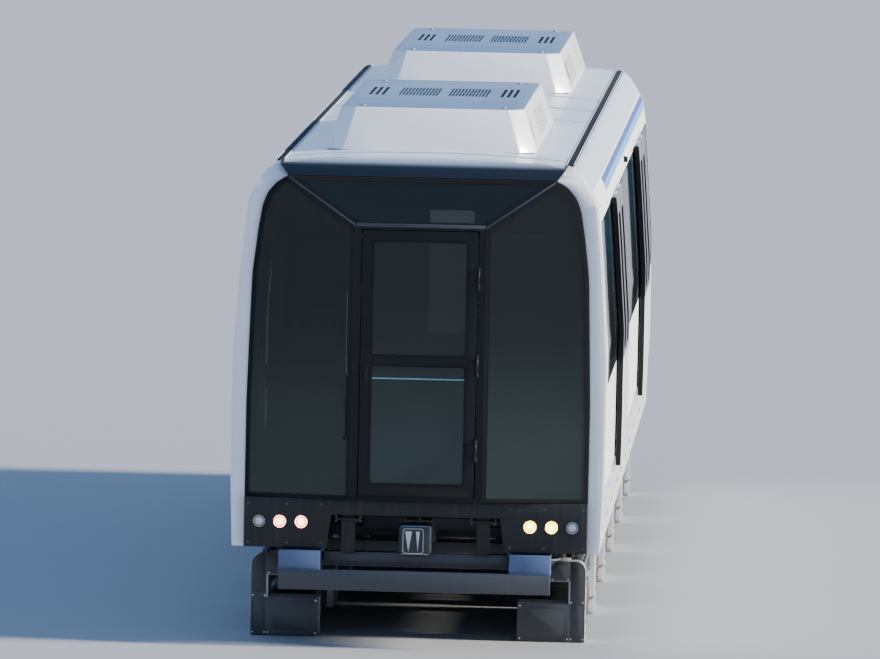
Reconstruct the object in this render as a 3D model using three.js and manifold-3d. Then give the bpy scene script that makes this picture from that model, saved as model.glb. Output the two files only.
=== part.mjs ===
// A lead car of an urban maglev train, millimetres, +X forward, +Y to its left, +Z up.
// The origin is on the floor under the middle of the car, level with the underside of the modules.
import * as THREE from "three";
import { mergeVertices } from "three/addons/utils/BufferGeometryUtils.js";
import { ConvexGeometry } from "three/addons/geometries/ConvexGeometry.js";
import Module from "manifold-3d";

const wasm = await Module();
wasm.setup();

// Driving dimensions
const railTop = 400;
const seam = 0.3;
const wall = 60;
const noseX = 6975;
const ringX = 6850;
const maskX = 6400;
const rearX = -6900;
const gangwayX = -7000;
const endWall = 60;
const skirtBottom = 685;
const skirtTop = 1100;
const bodyRear = rearX + endWall + seam;
const bodyFront = maskX - seam;
const floorTop = 1180;
const floorHalf = 1239.7;
const waist = 1820;
const windowTop = 2960;
const cantrail = 3190;
const ceiling = 3250;
const gutterZ = 3370;
const crown = 3415;

// Half width of the body at each height
const sideCurve = [
  [1285, 685],
  [1300, 1100],
  [1303, 1330],
  [1303, 2050],
  [1259, 2660],
  [1237, 2920],
  [1212, 3130],
  [1179, 3190],
  [1123, 3287],
  [1065, 3353],
  [1003, gutterZ],
];
const roofCurve = [
  [760, 3392],
  [400, 3409],
  [0, crown],
];

// Sliding doors
const doorCentres = [-3500, 3050];
const leafWidth = 800;
const leafSeam = 8;
const doorClear = 700;
const doorHead = 2950;
const leafBottom = 1055;
const leafTop = 3000;
const leafGap = 12;
const leafThick = 38;
const leafWindow = { half: 210, low: 1880, high: 2870, offset: 380, radius: 50, depth: 8 };
const doorRail = { gap: 0.5, high: 18, inside: 10, overrun: 10 };

// Side windows between the doors: name, rear end, front end, upper front corner radius
const windowRadius = 40;
const windowSpans = [
  ["rear", -6800, -4400, windowRadius],
  ["middle", -2750, 2250, windowRadius],
  ["front", 3900, 6200, 160],
];
const paneThick = 24;
const paneInset = 2;

// Front door and windscreen
const frontDoorHalf = 405;
const frontDoorBottom = 1060;
const frontDoorTop = 2925;
const frontDoorThick = 45;
const frontDoorGap = 7;
const postHalf = 450;
const foldZ = 2950;
const glassBottom = 1050;
const glassTop = 3284;
const glassThick = 22;
const frameDepth = 60;
const panelTop = 1035;
const panelX = 6900;

// Cutters reach from behind the face to in front of it
const cutRear = 6000;
const cutFront = 7100;
const cutHalf = 1400;
const cutLow = 600;

// Modules under the floor
const modulePitch = 2500;
const moduleEnd = 1205;
const moduleTop = 570;
const moduleOuter = 1180;
const moduleInner = 700;
const railY = 850;
const channelBottom = 270;
const channelTop = 425;
const channelOuter = 1060;
const springTop = 949.5;
const underframeBottom = 950;

// Colours, roughness and metalness
function finish(color, roughness, metalness) {
  return new THREE.MeshStandardMaterial({ color, roughness, metalness });
}
const white = finish("#e9edf1", 0.35, 0.1);
const roofWhite = finish("#d3dae3", 0.45, 0.1);
const slate = finish("#39424f", 0.4, 0.2);
const darkPanel = finish("#3a3e45", 0.5, 0.2);
const black = finish("#15171a", 0.6, 0.1);
const glassTint = finish("#1b262b", 0.1, 0.2);
const steelGrey = finish("#7d858f", 0.5, 0.7);
const underGrey = finish("#4a4e54", 0.7, 0.4);
const lightMetal = finish("#b4bcc6", 0.45, 0.5);
const rubberGrey = finish("#5c6066", 0.8, 0.0);
const trimGrey = finish("#9aa1a9", 0.6, 0.1);
const seatBlue = finish("#33527e", 0.9, 0.0);
const lampWhite = finish("#f4f1df", 0.2, 0.1);
const chromeLike = finish("#c9ced4", 0.25, 0.9);

// Solids
function solid(geometry) {
  const bare = geometry.clone();
  bare.deleteAttribute("normal");
  bare.deleteAttribute("uv");
  const merged = mergeVertices(bare, 1e-3);
  return new wasm.Manifold(
    new wasm.Mesh({
      numProp: 3,
      vertProperties: new Float32Array(merged.attributes.position.array),
      triVerts: new Uint32Array(merged.index.array),
    }),
  );
}

const joined = (pieces) => pieces.reduce((whole, piece) => whole.add(piece));
const without = (body, tools) => tools.reduce((rest, tool) => rest.subtract(tool), body);

function extruded(points, depth, matrix) {
  const shape = new THREE.Shape(points.map(([a, b]) => new THREE.Vector2(a, b)));
  const geometry = new THREE.ExtrudeGeometry(shape, { depth, bevelEnabled: false });
  return solid(geometry.applyMatrix4(matrix));
}

// An outline in Y and Z, drawn out from x0 to x1
function along(points, x0, x1) {
  const matrix = new THREE.Matrix4().set(0, 0, 1, x0, 1, 0, 0, 0, 0, 1, 0, 0, 0, 0, 0, 1);
  return extruded(points, x1 - x0, matrix);
}

// An outline in X and Z, drawn out from y0 to y1
function across(points, y0, y1) {
  const matrix = new THREE.Matrix4().set(1, 0, 0, 0, 0, 0, -1, y1, 0, 1, 0, 0, 0, 0, 0, 1);
  return extruded(points, y1 - y0, matrix);
}

function block(x0, x1, y0, y1, z0, z1) {
  const geometry = new THREE.BoxGeometry(x1 - x0, y1 - y0, z1 - z0);
  return solid(geometry.translate((x0 + x1) / 2, (y0 + y1) / 2, (z0 + z1) / 2));
}

function frustum(x, y, z0, z1, lowRadius, highRadius, sides) {
  const geometry = new THREE.CylinderGeometry(highRadius, lowRadius, z1 - z0, sides);
  return solid(geometry.rotateX(Math.PI / 2).translate(x, y, (z0 + z1) / 2));
}

const upright = (x, y, z0, z1, radius, sides = 24) => frustum(x, y, z0, z1, radius, radius, sides);

function lengthwise(x0, x1, y, z, radius, sides = 20) {
  const geometry = new THREE.CylinderGeometry(radius, radius, x1 - x0, sides);
  return solid(geometry.rotateZ(Math.PI / 2).translate((x0 + x1) / 2, y, z));
}

function crosswise(y0, y1, x, z, radius, sides = 16) {
  const geometry = new THREE.CylinderGeometry(radius, radius, y1 - y0, sides);
  return solid(geometry.translate(x, (y0 + y1) / 2, z));
}

const hull = (points) => solid(new ConvexGeometry(points.map((p) => new THREE.Vector3(...p))));
const mirrored = (body) => body.mirror([0, 1, 0]);
const forSide = (body, side) => (side > 0 ? body : mirrored(body));

// Rectangle whose corners are rounded by the radii [low start, low end, high end, high start]
function roundedOutline(a0, a1, b0, b1, radii, steps = 5) {
  const corners = [
    [a0, b0, 1, 1, Math.PI],
    [a1, b0, -1, 1, 1.5 * Math.PI],
    [a1, b1, -1, -1, 0],
    [a0, b1, 1, -1, 0.5 * Math.PI],
  ];
  return corners.flatMap(([a, b, inA, inB, start], i) => {
    const r = radii[i];
    if (r === 0) return [[a, b]];
    return Array.from({ length: steps + 1 }, (_, k) => {
      const angle = start + (k / steps) * 0.5 * Math.PI;
      return [a + inA * r + r * Math.cos(angle), b + inB * r + r * Math.sin(angle)];
    });
  });
}

const evenly = (r) => [r, r, r, r];

// Half width of the body at height z
function halfWidth(z) {
  const above = sideCurve.findIndex(([, height]) => height >= z);
  const [y1, z1] = sideCurve[above];
  if (above === 0 || z1 === z) return y1;
  const [y0, z0] = sideCurve[above - 1];
  return y0 + ((y1 - y0) * (z - z0)) / (z1 - z0);
}

// Outline of a strip of the left side from z0 to z1, between two depths in from the outer face
function sideStrip(z0, z1, outer, inner) {
  const between = sideCurve.map(([, z]) => z).filter((z) => z > z0 + 1 && z < z1 - 1);
  const heights = [z0, ...between, z1];
  const outside = heights.map((z) => [halfWidth(z) - outer, z]);
  const inside = heights.map((z) => [halfWidth(z) - inner, z]).reverse();
  return [...outside, ...inside];
}

// Outline of the whole body from z0 up, both sides
function bodyOutline(z0) {
  const left = [[halfWidth(z0), z0], ...sideCurve.filter(([, z]) => z > z0 + 1), ...roofCurve];
  const right = left.slice(0, -1).map(([y, z]) => [-y, z]);
  return [...left, ...right.reverse()];
}

const car = new THREE.Group();

function place(name, body, material) {
  const mesh = body.getMesh();
  const geometry = new THREE.BufferGeometry();
  geometry.setAttribute("position", new THREE.BufferAttribute(new Float32Array(mesh.vertProperties), 3));
  geometry.setIndex(new THREE.BufferAttribute(new Uint32Array(mesh.triVerts), 1));
  geometry.computeVertexNormals();
  const piece = new THREE.Mesh(geometry, material);
  piece.name = name;
  car.add(piece);
}

const sides = [
  ["left", 1],
  ["right", -1],
];

// Side walls with their door openings and windows, and the panes that close the windows
const cutInner = 1100;
const doorOpenings = doorCentres.map((x) =>
  block(x - doorClear, x + doorClear, cutInner, cutHalf, floorTop, doorHead));

function windowOutline(x0, x1, frontRadius, inset) {
  const radii = [windowRadius, windowRadius, frontRadius, windowRadius].map((r) => Math.max(r - inset, 0));
  return roundedOutline(x0 + inset, x1 - inset, waist + inset, windowTop - inset, radii);
}

const wallStrip = along(sideStrip(skirtTop, cantrail, 0, wall), bodyRear, bodyFront);
const railLow = leafTop + doorRail.gap;
const railOutline = sideStrip(railLow, railLow + doorRail.high, -leafGap - leafThick, doorRail.inside);
const railReach = leafWidth + doorClear + doorRail.overrun;
const doorRails = doorCentres.map((x) => along(railOutline, x - railReach, x + railReach));
const windowHoles = windowSpans.map(([, x0, x1, radius]) =>
  across(windowOutline(x0, x1, radius, 0), cutInner, cutHalf));
const sideWall = without(wallStrip, [...doorOpenings, ...windowHoles]).add(joined(doorRails));
const paneSkin = along(sideStrip(waist, windowTop, paneInset, paneInset + paneThick), rearX, maskX);

for (const [sideName, side] of sides) {
  place("side_wall_" + sideName, forSide(sideWall, side), white);
  for (const [part, x0, x1, radius] of windowSpans) {
    const cutter = across(windowOutline(x0, x1, radius, seam), cutInner, cutHalf);
    place("window_" + part + "_" + sideName, forSide(paneSkin.intersect(cutter), side), glassTint);
  }
}

// Roof, solid between the outer skin and the ceiling, with gutters and a cable cover between the units
const coveWidth = 60;
const gutterSize = { inner: 1000, outer: 1030, below: 12, above: 14 };
const cableCover = { rear: -2500, front: 1400, half: 110, low: 3380, high: 3432 };

function makeRoof() {
  const insideY = halfWidth(cantrail + seam) - wall;
  const inside = [
    [-insideY, cantrail + seam],
    [-insideY + coveWidth, ceiling],
    [insideY - coveWidth, ceiling],
    [insideY, cantrail + seam],
  ];
  const skin = along([...bodyOutline(cantrail + seam), ...inside], bodyRear, bodyFront);
  const { inner, outer, below, above } = gutterSize;
  const gutter = block(bodyRear, bodyFront, inner, outer, gutterZ - below, gutterZ + above);
  const { rear, front, half, low, high } = cableCover;
  return joined([skin, gutter, mirrored(gutter), block(rear, front, -half, half, low, high)]);
}
place("roof", makeRoof(), roofWhite);

// Skirts below the side walls, grooved where one cover meets the next
const skirtThick = 28;
const skirtJoints = [-5600, -4300, -2700, -1350, 0, 1300, 2250, 3850, 5100];
const jointWidth = 6;
const jointDepth = 6;
const skirtSolid = along(sideStrip(skirtBottom, skirtTop - seam, 0, skirtThick), bodyRear, bodyFront);
const jointSkin = along(sideStrip(skirtBottom, skirtTop - seam, -1, jointDepth), bodyRear, bodyFront);
const joints = skirtJoints.map((x) =>
  block(x - jointWidth / 2, x + jointWidth / 2, cutInner, cutHalf, cutLow, cantrail));
const skirt = skirtSolid.subtract(jointSkin.intersect(joined(joints)));
for (const [sideName, side] of sides) {
  place("skirt_" + sideName, forSide(skirt, side), white);
}

// Underframe: the floor and the flat frame below it that the air springs slide under
const floorBottom = 1070;
const frameHalf = 1180;
const frameFront = 6500;
const cabFloor = { rear: 6390, front: 6760, half: 1120 };

function makeUnderframe() {
  const floor = block(bodyRear, bodyFront, -floorHalf, floorHalf, floorBottom, floorTop);
  const cab = block(cabFloor.rear, cabFloor.front, -cabFloor.half, cabFloor.half, floorBottom, floorTop);
  const slab = block(bodyRear, frameFront, -frameHalf, frameHalf, underframeBottom, floorTop);
  return joined([floor, cab, slab]);
}
place("underframe", makeUnderframe(), underGrey);

// Equipment cases hung between the modules: rear end, front end, bottom, number of lids
const caseTable = [
  [-5600, -4050, 700, 3],
  [-3450, -1450, 690, 4],
  [-1050, 1050, 700, 4],
  [1450, 3450, 690, 4],
  [4050, 5500, 700, 3],
];
const caseHalf = 430;
const caseTop = 910;
const lidGroove = 8;
const caseRail = { y: 380, half: 25, rear: -5600, front: 5500 };

function makeCase([x0, x1, bottom, lids]) {
  const body = block(x0, x1, -caseHalf, caseHalf, bottom, caseTop);
  const core = block(x0 - 1, x1 + 1, -caseHalf + lidGroove, caseHalf - lidGroove, bottom - 1, caseTop + 1);
  const grooves = Array.from({ length: lids - 1 }, (_, k) => {
    const start = x0 + ((k + 1) * (x1 - x0)) / lids - lidGroove / 2;
    return block(start, start + lidGroove, -caseHalf - 1, caseHalf + 1, bottom - 1, caseTop - lidGroove);
  });
  return body.subtract(joined(grooves).subtract(core));
}

function makeEquipment() {
  const { y, half, rear, front } = caseRail;
  const rail = block(rear, front, y - half, y + half, caseTop, underframeBottom - seam);
  return joined([...caseTable.map(makeCase), rail, mirrored(rail)]);
}
place("underfloor_equipment", makeEquipment(), underGrey);

// Rear end wall with the gangway opening, and the gangway's folded bellows
const gangwayHalf = 500;
const gangwayTop = 3060;
const gangwayHole = block(rearX - 10, bodyRear + 10, -gangwayHalf, gangwayHalf, floorTop, gangwayTop);
const rearWall = along(bodyOutline(floorBottom), rearX, rearX + endWall).subtract(gangwayHole);
place("rear_end_wall", rearWall, white);

const bellows = { half: 640, low: 1125, high: 3150, radius: 90, folds: 3, pleat: 20, pleatShare: 0.55 };
const bellowsHole = { half: 520, low: 1190, high: 3040, radius: 40 };
const bellowsInside = roundedOutline(
  -bellowsHole.half, bellowsHole.half, bellowsHole.low, bellowsHole.high, evenly(bellowsHole.radius));

function bellowsRing(x0, x1, grow) {
  const { half, low, high, radius } = bellows;
  const outer = roundedOutline(-half - grow, half + grow, low - grow, high + grow, evenly(radius));
  return along(outer, x0, x1).subtract(along(bellowsInside, x0 - 1, x1 + 1));
}

const foldPitch = (rearX - seam - gangwayX) / bellows.folds;
const pleats = Array.from({ length: bellows.folds }, (_, k) => {
  const start = gangwayX + k * foldPitch;
  const wide = bellowsRing(start, start + foldPitch * bellows.pleatShare, bellows.pleat);
  return wide.add(bellowsRing(start, start + foldPitch, 0));
});
place("gangway_bellows", joined(pleats), rubberGrey);

// Front mask: a white ring round the face, a dark hood over it and a dark panel below it
const faceCurve = [
  [1200, 640],
  [1200, 1700],
  [1190, 2100],
  [1175, 2600],
  [1140, 2900],
  [1110, 3080],
  [1075, 3170],
  [1015, 3240],
  [940, 3285],
];

function faceOutline(inset, z0) {
  const left = [[1200 - inset, z0], ...faceCurve.slice(1).map(([y, z]) => [y - inset, z - inset])];
  const right = left.map(([y, z]) => [-y, z]).reverse();
  return [...left, ...right];
}

// Side view of the roof's rounded front corner, filled from x0 forward
const cornerTop = crown + 2;
const cornerSteps = 8;
function corner(x0, front, radius) {
  const arc = Array.from({ length: cornerSteps + 1 }, (_, k) => {
    const angle = (k / cornerSteps) * 0.5 * Math.PI;
    return [front - radius + radius * Math.cos(angle), cornerTop - radius + radius * Math.sin(angle)];
  });
  return across([[x0, cutLow], [front, cutLow], ...arc, [x0, cornerTop]], -cutHalf, cutHalf);
}

// The hood's ends slant in from the gutters to the upper corners of the face
const ringRadius = 300;
const hood = { rear: 6440, front: 6875, radius: 230, lowHalf: 940, topHalf: 1005, low: 3290, shoulder: 3372 };
const hoodTop = 3500;

function hoodSpace(low, grow) {
  const left = [
    [hood.lowHalf + grow, low],
    [hood.topHalf + grow, hood.shoulder],
    [hood.topHalf + grow, hoodTop],
  ];
  const right = left.map(([y, z]) => [-y, z]).reverse();
  return along([...left, ...right], hood.rear - grow, cutFront);
}

function makeRing() {
  const whole = along(bodyOutline(skirtBottom), maskX, ringX).intersect(corner(maskX - 1, ringX, ringRadius));
  const inside = along(faceOutline(0, cutLow), maskX - 1, ringX + 1);
  return without(whole, [inside, hoodSpace(glassTop, seam)]);
}
place("front_ring", makeRing(), white);

function makeHood() {
  const whole = along(bodyOutline(skirtBottom), hood.rear, hood.front);
  return whole.intersect(corner(hood.rear, hood.front, hood.radius)).intersect(hoodSpace(hood.low, 0));
}
place("roof_hood", makeHood(), slate);

// Lower panel with its ledge, lamp holes, the coupler's recess and two lifting brackets in it
const panel = { half: 1199.7, thick: 110, ledgeHalf: 1100, ledgeHigh: 60, joint: 430, jointWidth: 6 };
const recess = { half: 590, flare: 30, top: 920 };
const bracketPlate = { y: 473, half: 50, x0: 6800, x1: 6818, low: 650 };
const bracketEar = { half: 92, rear: 6790, front: 6848, low: 880, high: 896 };
const lampTable = [800, 950, 1095];
const lamp = { z: 865, radius: 42, clear: 8, inset: 4 };
const lampHousing = { depth: 40, half: 55, inner: 740, outer: 1155 };

function makeFrontPanel() {
  const back = panelX - panel.thick;
  const plate = block(back, panelX, -panel.half, panel.half, skirtBottom, panelTop);
  const ledge = block(
    cabFloor.front + seam, panelX, -panel.ledgeHalf, panel.ledgeHalf, panelTop - panel.ledgeHigh, panelTop);
  const recessOutline = [
    [-recess.half - recess.flare, skirtBottom - 1],
    [recess.half + recess.flare, skirtBottom - 1],
    [recess.half, recess.top],
    [-recess.half, recess.top],
  ];
  const lampHoles = [-1, 1].flatMap((side) =>
    lampTable.map((y) => lengthwise(back - 10, panelX + 10, side * y, lamp.z, lamp.radius + lamp.clear)));
  const joint = block(
    panelX - panel.jointWidth, panelX + 1,
    panel.joint - panel.jointWidth / 2, panel.joint + panel.jointWidth / 2, recess.top - 1, panelTop + 1);
  const { y, half, x0, x1, low } = bracketPlate;
  const ear = bracketEar;
  const lifting = joined([
    block(x0, x1, y - half, y + half, low, recess.top + 10),
    block(ear.rear, ear.front, y - ear.half, y + ear.half, ear.low, ear.high),
  ]);
  const recessSpace = along(recessOutline, back - 10, panelX + 10);
  const cut = without(plate.add(ledge), [recessSpace, ...lampHoles, joint, mirrored(joint)]);
  return joined([cut, lifting, mirrored(lifting)]);
}
place("front_panel", makeFrontPanel(), darkPanel);

// Faceted face: a flat middle, two side facets and a top facet that lean back to the ring
const facet = { edgeX: 6855, edgeY: 1200, sideY: 1300, sideZ: 3160, topY: 1000, topZ: 3331, backX: 6200 };

function facets(shift) {
  const front = noseX - shift;
  const slope = (noseX - facet.edgeX) / (facet.edgeY - postHalf);
  const leanBack = (y) => front - slope * (y - postHalf);
  return hull([-1, 1].flatMap((side) => [
    [front, side * postHalf, foldZ],
    [front, side * postHalf, cutLow],
    [leanBack(facet.sideY), side * facet.sideY, cutLow],
    [leanBack(facet.sideY), side * facet.sideY, facet.sideZ],
    [leanBack(facet.topY), side * facet.topY, facet.topZ],
    [facet.backX, side * facet.sideY, cutLow],
    [facet.backX, side * facet.sideY, facet.topZ],
  ]));
}

const backShift = glassThick + seam;
const skinFront = facets(0).subtract(facets(glassThick));
const skinBack = facets(backShift).subtract(facets(backShift + frameDepth));
const glassField = along(faceOutline(seam, glassBottom), cutRear, cutFront);
const postLap = 1;
const headLap = 20;
const doorSpace = block(cutRear, cutFront, -postHalf + postLap, postHalf - postLap, cutLow, foldZ - headLap);
const ringClear = block(cutRear, cutFront, -cutHalf, cutHalf, glassBottom, glassTop);
place("windscreen", skinFront.intersect(glassField).subtract(doorSpace).intersect(ringClear), glassTint);

// Hinges of the front door: knuckles on the face, the middle one on the door
const hingeY = frontDoorHalf + frontDoorGap / 2;
const hingeX = noseX + 13;
const hingeHeights = [1400, 1990, 2600];
const knuckle = { half: 40, radius: 12, gap: 0.4, strapThick: 10, doorStrap: 60, postStrap: 36 };

function hingeKnuckle(z0, z1, y0, y1) {
  const barrel = upright(hingeX, hingeY, z0, z1, knuckle.radius, 12);
  return barrel.add(block(noseX - 1, noseX + knuckle.strapThick, y0, y1, z0, z1));
}

// Posts, head rail and fold arms that carry the panes and the front door
const screenFrame = { rim: 70, postDepth: 75, sillX: 6820, sillGap: 25, sillHigh: 6 };
const backPost = { depth: 78, gap: 4, reach: 20 };
const foldArm = [
  [426, 2954],
  [474, 2886],
  [1004, 3256],
  [956, 3324],
];
const frontDoorHole = block(
  cutRear, cutFront,
  -frontDoorHalf - frontDoorGap, frontDoorHalf + frontDoorGap,
  frontDoorBottom - frontDoorGap, frontDoorTop + frontDoorGap,
);

function makeScreenFrame() {
  const { rim, postDepth, sillX, sillGap, sillHigh } = screenFrame;
  const foot = panelTop + seam;
  const field = along(faceOutline(seam, foot), cutRear, cutFront);
  const opening = along(faceOutline(rim, glassBottom + frameDepth), cutRear, cutFront);
  const ring = skinBack.intersect(field).subtract(opening);
  const postSide = postHalf - postLap - seam;
  const posts = block(noseX - postDepth, noseX, -postSide, postSide, foot, foldZ - headLap - seam);
  const backSide = postHalf + backPost.reach;
  const backPosts = block(
    noseX - backPost.depth, noseX - glassThick - backPost.gap,
    -backSide, backSide,
    foot, foldZ + backPost.reach);
  const arm = along(foldArm, cutRear, cutFront);
  const arms = skinBack.intersect(arm.add(mirrored(arm))).intersect(field);
  const sill = block(sillX, noseX - sillGap, -postHalf, postHalf, foot, glassBottom + sillHigh);
  const knuckles = hingeHeights.flatMap((z) => [
    hingeKnuckle(z + knuckle.half, z + 2 * knuckle.half, hingeY, hingeY + knuckle.postStrap),
    hingeKnuckle(z - 2 * knuckle.half, z - knuckle.half, hingeY, hingeY + knuckle.postStrap),
  ]);
  return joined([ring, posts, backPosts.intersect(facets(backShift)), arms, sill])
    .subtract(frontDoorHole)
    .intersect(field)
    .add(joined(knuckles));
}
place("windscreen_frame", makeScreenFrame(), black);

// Front door, hinged on the left, with two sunk panes
const doorPane = { half: 335, sink: 9, radius: 30, heights: [[1145, 1985], [2045, 2855]] };

function makeFrontDoor() {
  const leaf = block(
    noseX - frontDoorThick, noseX, -frontDoorHalf, frontDoorHalf, frontDoorBottom, frontDoorTop);
  const panes = doorPane.heights.map(([z0, z1]) =>
    along(roundedOutline(-doorPane.half, doorPane.half, z0, z1, evenly(doorPane.radius), 3),
      noseX - doorPane.sink, noseX + 1));
  const reach = knuckle.half - knuckle.gap;
  const knuckles = hingeHeights.map((z) =>
    hingeKnuckle(z - reach, z + reach, hingeY - knuckle.doorStrap, hingeY));
  return without(leaf, panes).add(joined(knuckles));
}
place("front_door", makeFrontDoor(), black);

// Headlamps, three to a side
function makeHeadlamps() {
  const back = panelX - panel.thick - seam;
  const { depth, half, inner, outer } = lampHousing;
  const housing = block(back - depth, back, inner, outer, lamp.z - half, lamp.z + half);
  const barrels = lampTable.map((y) => lengthwise(back - 10, panelX - lamp.inset, y, lamp.z, lamp.radius));
  return joined([housing, ...barrels]);
}
for (const [sideName, side] of sides) {
  place("headlamps_" + sideName, forSide(makeHeadlamps(), side), lampWhite);
}

// Sliding door leaves, hung outside the wall
const leafFace = -leafGap - leafThick;
const leafSkin = along(sideStrip(leafBottom, leafTop, leafFace, -leafGap), gangwayX, noseX);
const leafPocket = along(
  sideStrip(leafBottom + 1, leafTop - 1, leafFace - 1, leafFace + leafWindow.depth), gangwayX, noseX);

function makeLeaf(centre, end) {
  const inner = centre + (end * leafSeam) / 2;
  const outer = centre + end * leafWidth;
  const [x0, x1] = [Math.min(inner, outer), Math.max(inner, outer)];
  const leaf = leafSkin.intersect(block(x0, x1, cutInner, cutHalf, leafBottom, leafTop));
  const middle = centre + end * leafWindow.offset;
  const { half, low, high, radius } = leafWindow;
  const paneOutline = roundedOutline(middle - half, middle + half, low, high, evenly(radius));
  return leaf.subtract(leafPocket.intersect(across(paneOutline, cutInner, cutHalf)));
}

doorCentres.forEach((centre, index) => {
  const doorName = ["rear", "front"][index];
  for (const [sideName, side] of sides) {
    for (const [leafName, end] of [["a", -1], ["b", 1]]) {
      place(["door", doorName, sideName, leafName].join("_"), forSide(makeLeaf(centre, end), side), trimGrey);
    }
  }
});

// Roof units: sloping cases with fin banks and slots in the top and louvres in the sides.
// Columns: name, rear end, front end, rear end of the louvres.
const unitTable = [
  ["rear", -6700, -2600, -4600],
  ["front", 1500, 5600, 2600],
];
const unit = { low: 3400, high: 3700, half: 750, topHalf: 648, cut: 120, lean: 130 };
const unitFoot = { inset: 60, half: 650, low: 3380 };
const finBank = { behind: 1810, length: 1040, depth: 10, pitch: 32, width: 18, count: 9 };
const finStarts = [-325, 40];
const slotRow = { starts: [420, 465, 510], width: 22 };
const louvre = { length: 1500, low: 60, count: 6, pitch: 30, width: 16, depth: 8 };

function unitRing(x0, x1, half, z) {
  const { cut } = unit;
  return [
    [x0 + cut, -half, z],
    [x1 - cut, -half, z],
    [x1, -half + cut, z],
    [x1, half - cut, z],
    [x1 - cut, half, z],
    [x0 + cut, half, z],
    [x0, half - cut, z],
    [x0, -half + cut, z],
  ];
}

// Grooves along one sloping side: boxes laid out upright, then tilted into the slope
function louvreGrooves(x0) {
  const slope = Math.atan2(unit.half - unit.topHalf, unit.high - unit.low);
  const turned = new THREE.Matrix4().makeRotationX(slope).setPosition(0, unit.half, unit.low);
  return Array.from({ length: louvre.count }, (_, k) => {
    const z = louvre.low + (k + 0.5) * louvre.pitch;
    const groove = new THREE.BoxGeometry(louvre.length, 2 * louvre.depth, louvre.width);
    return solid(groove.translate(x0 + louvre.length / 2, 0, z).applyMatrix4(turned));
  });
}

function makeRoofUnit(x0, x1, louvreX) {
  const shell = hull([
    ...unitRing(x0, x1, unit.half, unit.low),
    ...unitRing(x0 + unit.lean, x1 - unit.lean, unit.topHalf, unit.high),
  ]);
  const foot = block(
    x0 + unitFoot.inset, x1 - unitFoot.inset, -unitFoot.half, unitFoot.half, unitFoot.low, unit.low + 1);
  const finFront = x1 - finBank.behind;
  const groove = (y0, width) =>
    block(finFront - finBank.length, finFront, y0, y0 + width, unit.high - finBank.depth, unit.high + 1);
  const fins = finStarts.flatMap((start) =>
    Array.from({ length: finBank.count }, (_, k) => groove(start + k * finBank.pitch, finBank.width)));
  const slots = slotRow.starts.flatMap((y) => [groove(y, slotRow.width), mirrored(groove(y, slotRow.width))]);
  const grooves = louvreGrooves(louvreX);
  return without(shell.add(foot), [...fins, ...slots, ...grooves, ...grooves.map(mirrored)]);
}

const roofSaddle = along(bodyOutline(cantrail + seam), rearX, maskX).translate([0, 0, seam]);
for (const [unitName, x0, x1, louvreX] of unitTable) {
  place("air_unit_" + unitName, makeRoofUnit(x0, x1, louvreX).subtract(roofSaddle), white);
}

// Couplers: a round bar from a pivot under the floor to a head
const coupler = { z: 760, bar: 45, eye: 70, eyeHalf: 60, pin: 25, play: 0.6, headHigh: 105 };
const frontCoupler = { pivotX: 6200, headX: 6940, depth: 200, half: 115 };
const rearCoupler = { pivotX: -6300, headX: gangwayX, depth: 60, half: 100 };

function makeCoupler({ pivotX, headX, depth, half }) {
  const { z, bar, eye, eyeHalf, pin, play, headHigh } = coupler;
  const direction = Math.sign(headX - pivotX);
  const [x0, x1] = [Math.min(headX, headX - direction * depth), Math.max(headX, headX - direction * depth)];
  return joined([
    lengthwise(Math.min(pivotX, headX), Math.max(pivotX, headX), 0, z, bar),
    block(x0, x1, -half, half, z - headHigh, z + headHigh),
    upright(pivotX, 0, z - eyeHalf, z + eyeHalf, eye),
  ]).subtract(upright(pivotX, 0, z - headHigh, z + headHigh, pin + play));
}

// Wedge-shaped sockets in the front head's face: middle, half width at the top, both from the head's centre
const wedgeTable = [
  [-45, 25],
  [20, 14],
];
const wedge = { high: 60, low: -85, depth: 9 };
const wedges = wedgeTable.map(([y, half]) =>
  along(
    [
      [y - half, coupler.z + wedge.high],
      [y + half, coupler.z + wedge.high],
      [y, coupler.z + wedge.low],
    ],
    frontCoupler.headX - wedge.depth,
    frontCoupler.headX + 1,
  ));
place("coupler_front", without(makeCoupler(frontCoupler), wedges), steelGrey);
place("coupler_rear", makeCoupler(rearCoupler), steelGrey);

// Yokes that hold the couplers' pivots, drawn for the front one with the pivot at x = 0
const yoke = { rear: -160, plate: -100, jawRear: -120, front: 60, half: 110, jawHalf: 90, reach: 84, gap: 6 };
const yokeTop = { half: 250, thick: 30 };

function makeYoke(pivotX, direction) {
  const { z, eyeHalf, pin } = coupler;
  const { rear, plate, jawRear, front, half, jawHalf, reach, gap } = yoke;
  const high = underframeBottom - seam;
  const jaw = (z0, z1) => block(jawRear, front, -jawHalf, jawHalf, z0, z1);
  const body = joined([
    block(rear, plate, -half, half, z - reach - 1, high),
    jaw(z + eyeHalf + gap, z + reach),
    jaw(z - reach, z - eyeHalf - gap),
    upright(0, 0, z - reach, z + reach, pin),
    block(rear, front, -yokeTop.half, yokeTop.half, underframeBottom - yokeTop.thick, high),
  ]);
  return (direction > 0 ? body : body.mirror([1, 0, 0])).translate([pivotX, 0, 0]);
}
place("coupler_yoke_front", makeYoke(frontCoupler.pivotX, 1), underGrey);
place("coupler_yoke_rear", makeYoke(rearCoupler.pivotX, -1), underGrey);

// Deflector below the face: a beam with a folded upper edge, on two boxed arms hung from the cab floor
const deflector = { half: 950, back: 6950, front: 7000, high: 140, foldX: 20, foldZ: 12 };
const deflectorBox = { inner: 660, rear: 6700, front: 6960, low: 130, high: 270 };
const deflectorTie = { front: 6740, low: 150, high: 250 };
const deflectorHanger = { inner: 640, outer: 740, low: 200 };
const gusset = { y: 800, half: 8, rear: 6820, low: 20 };

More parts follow.
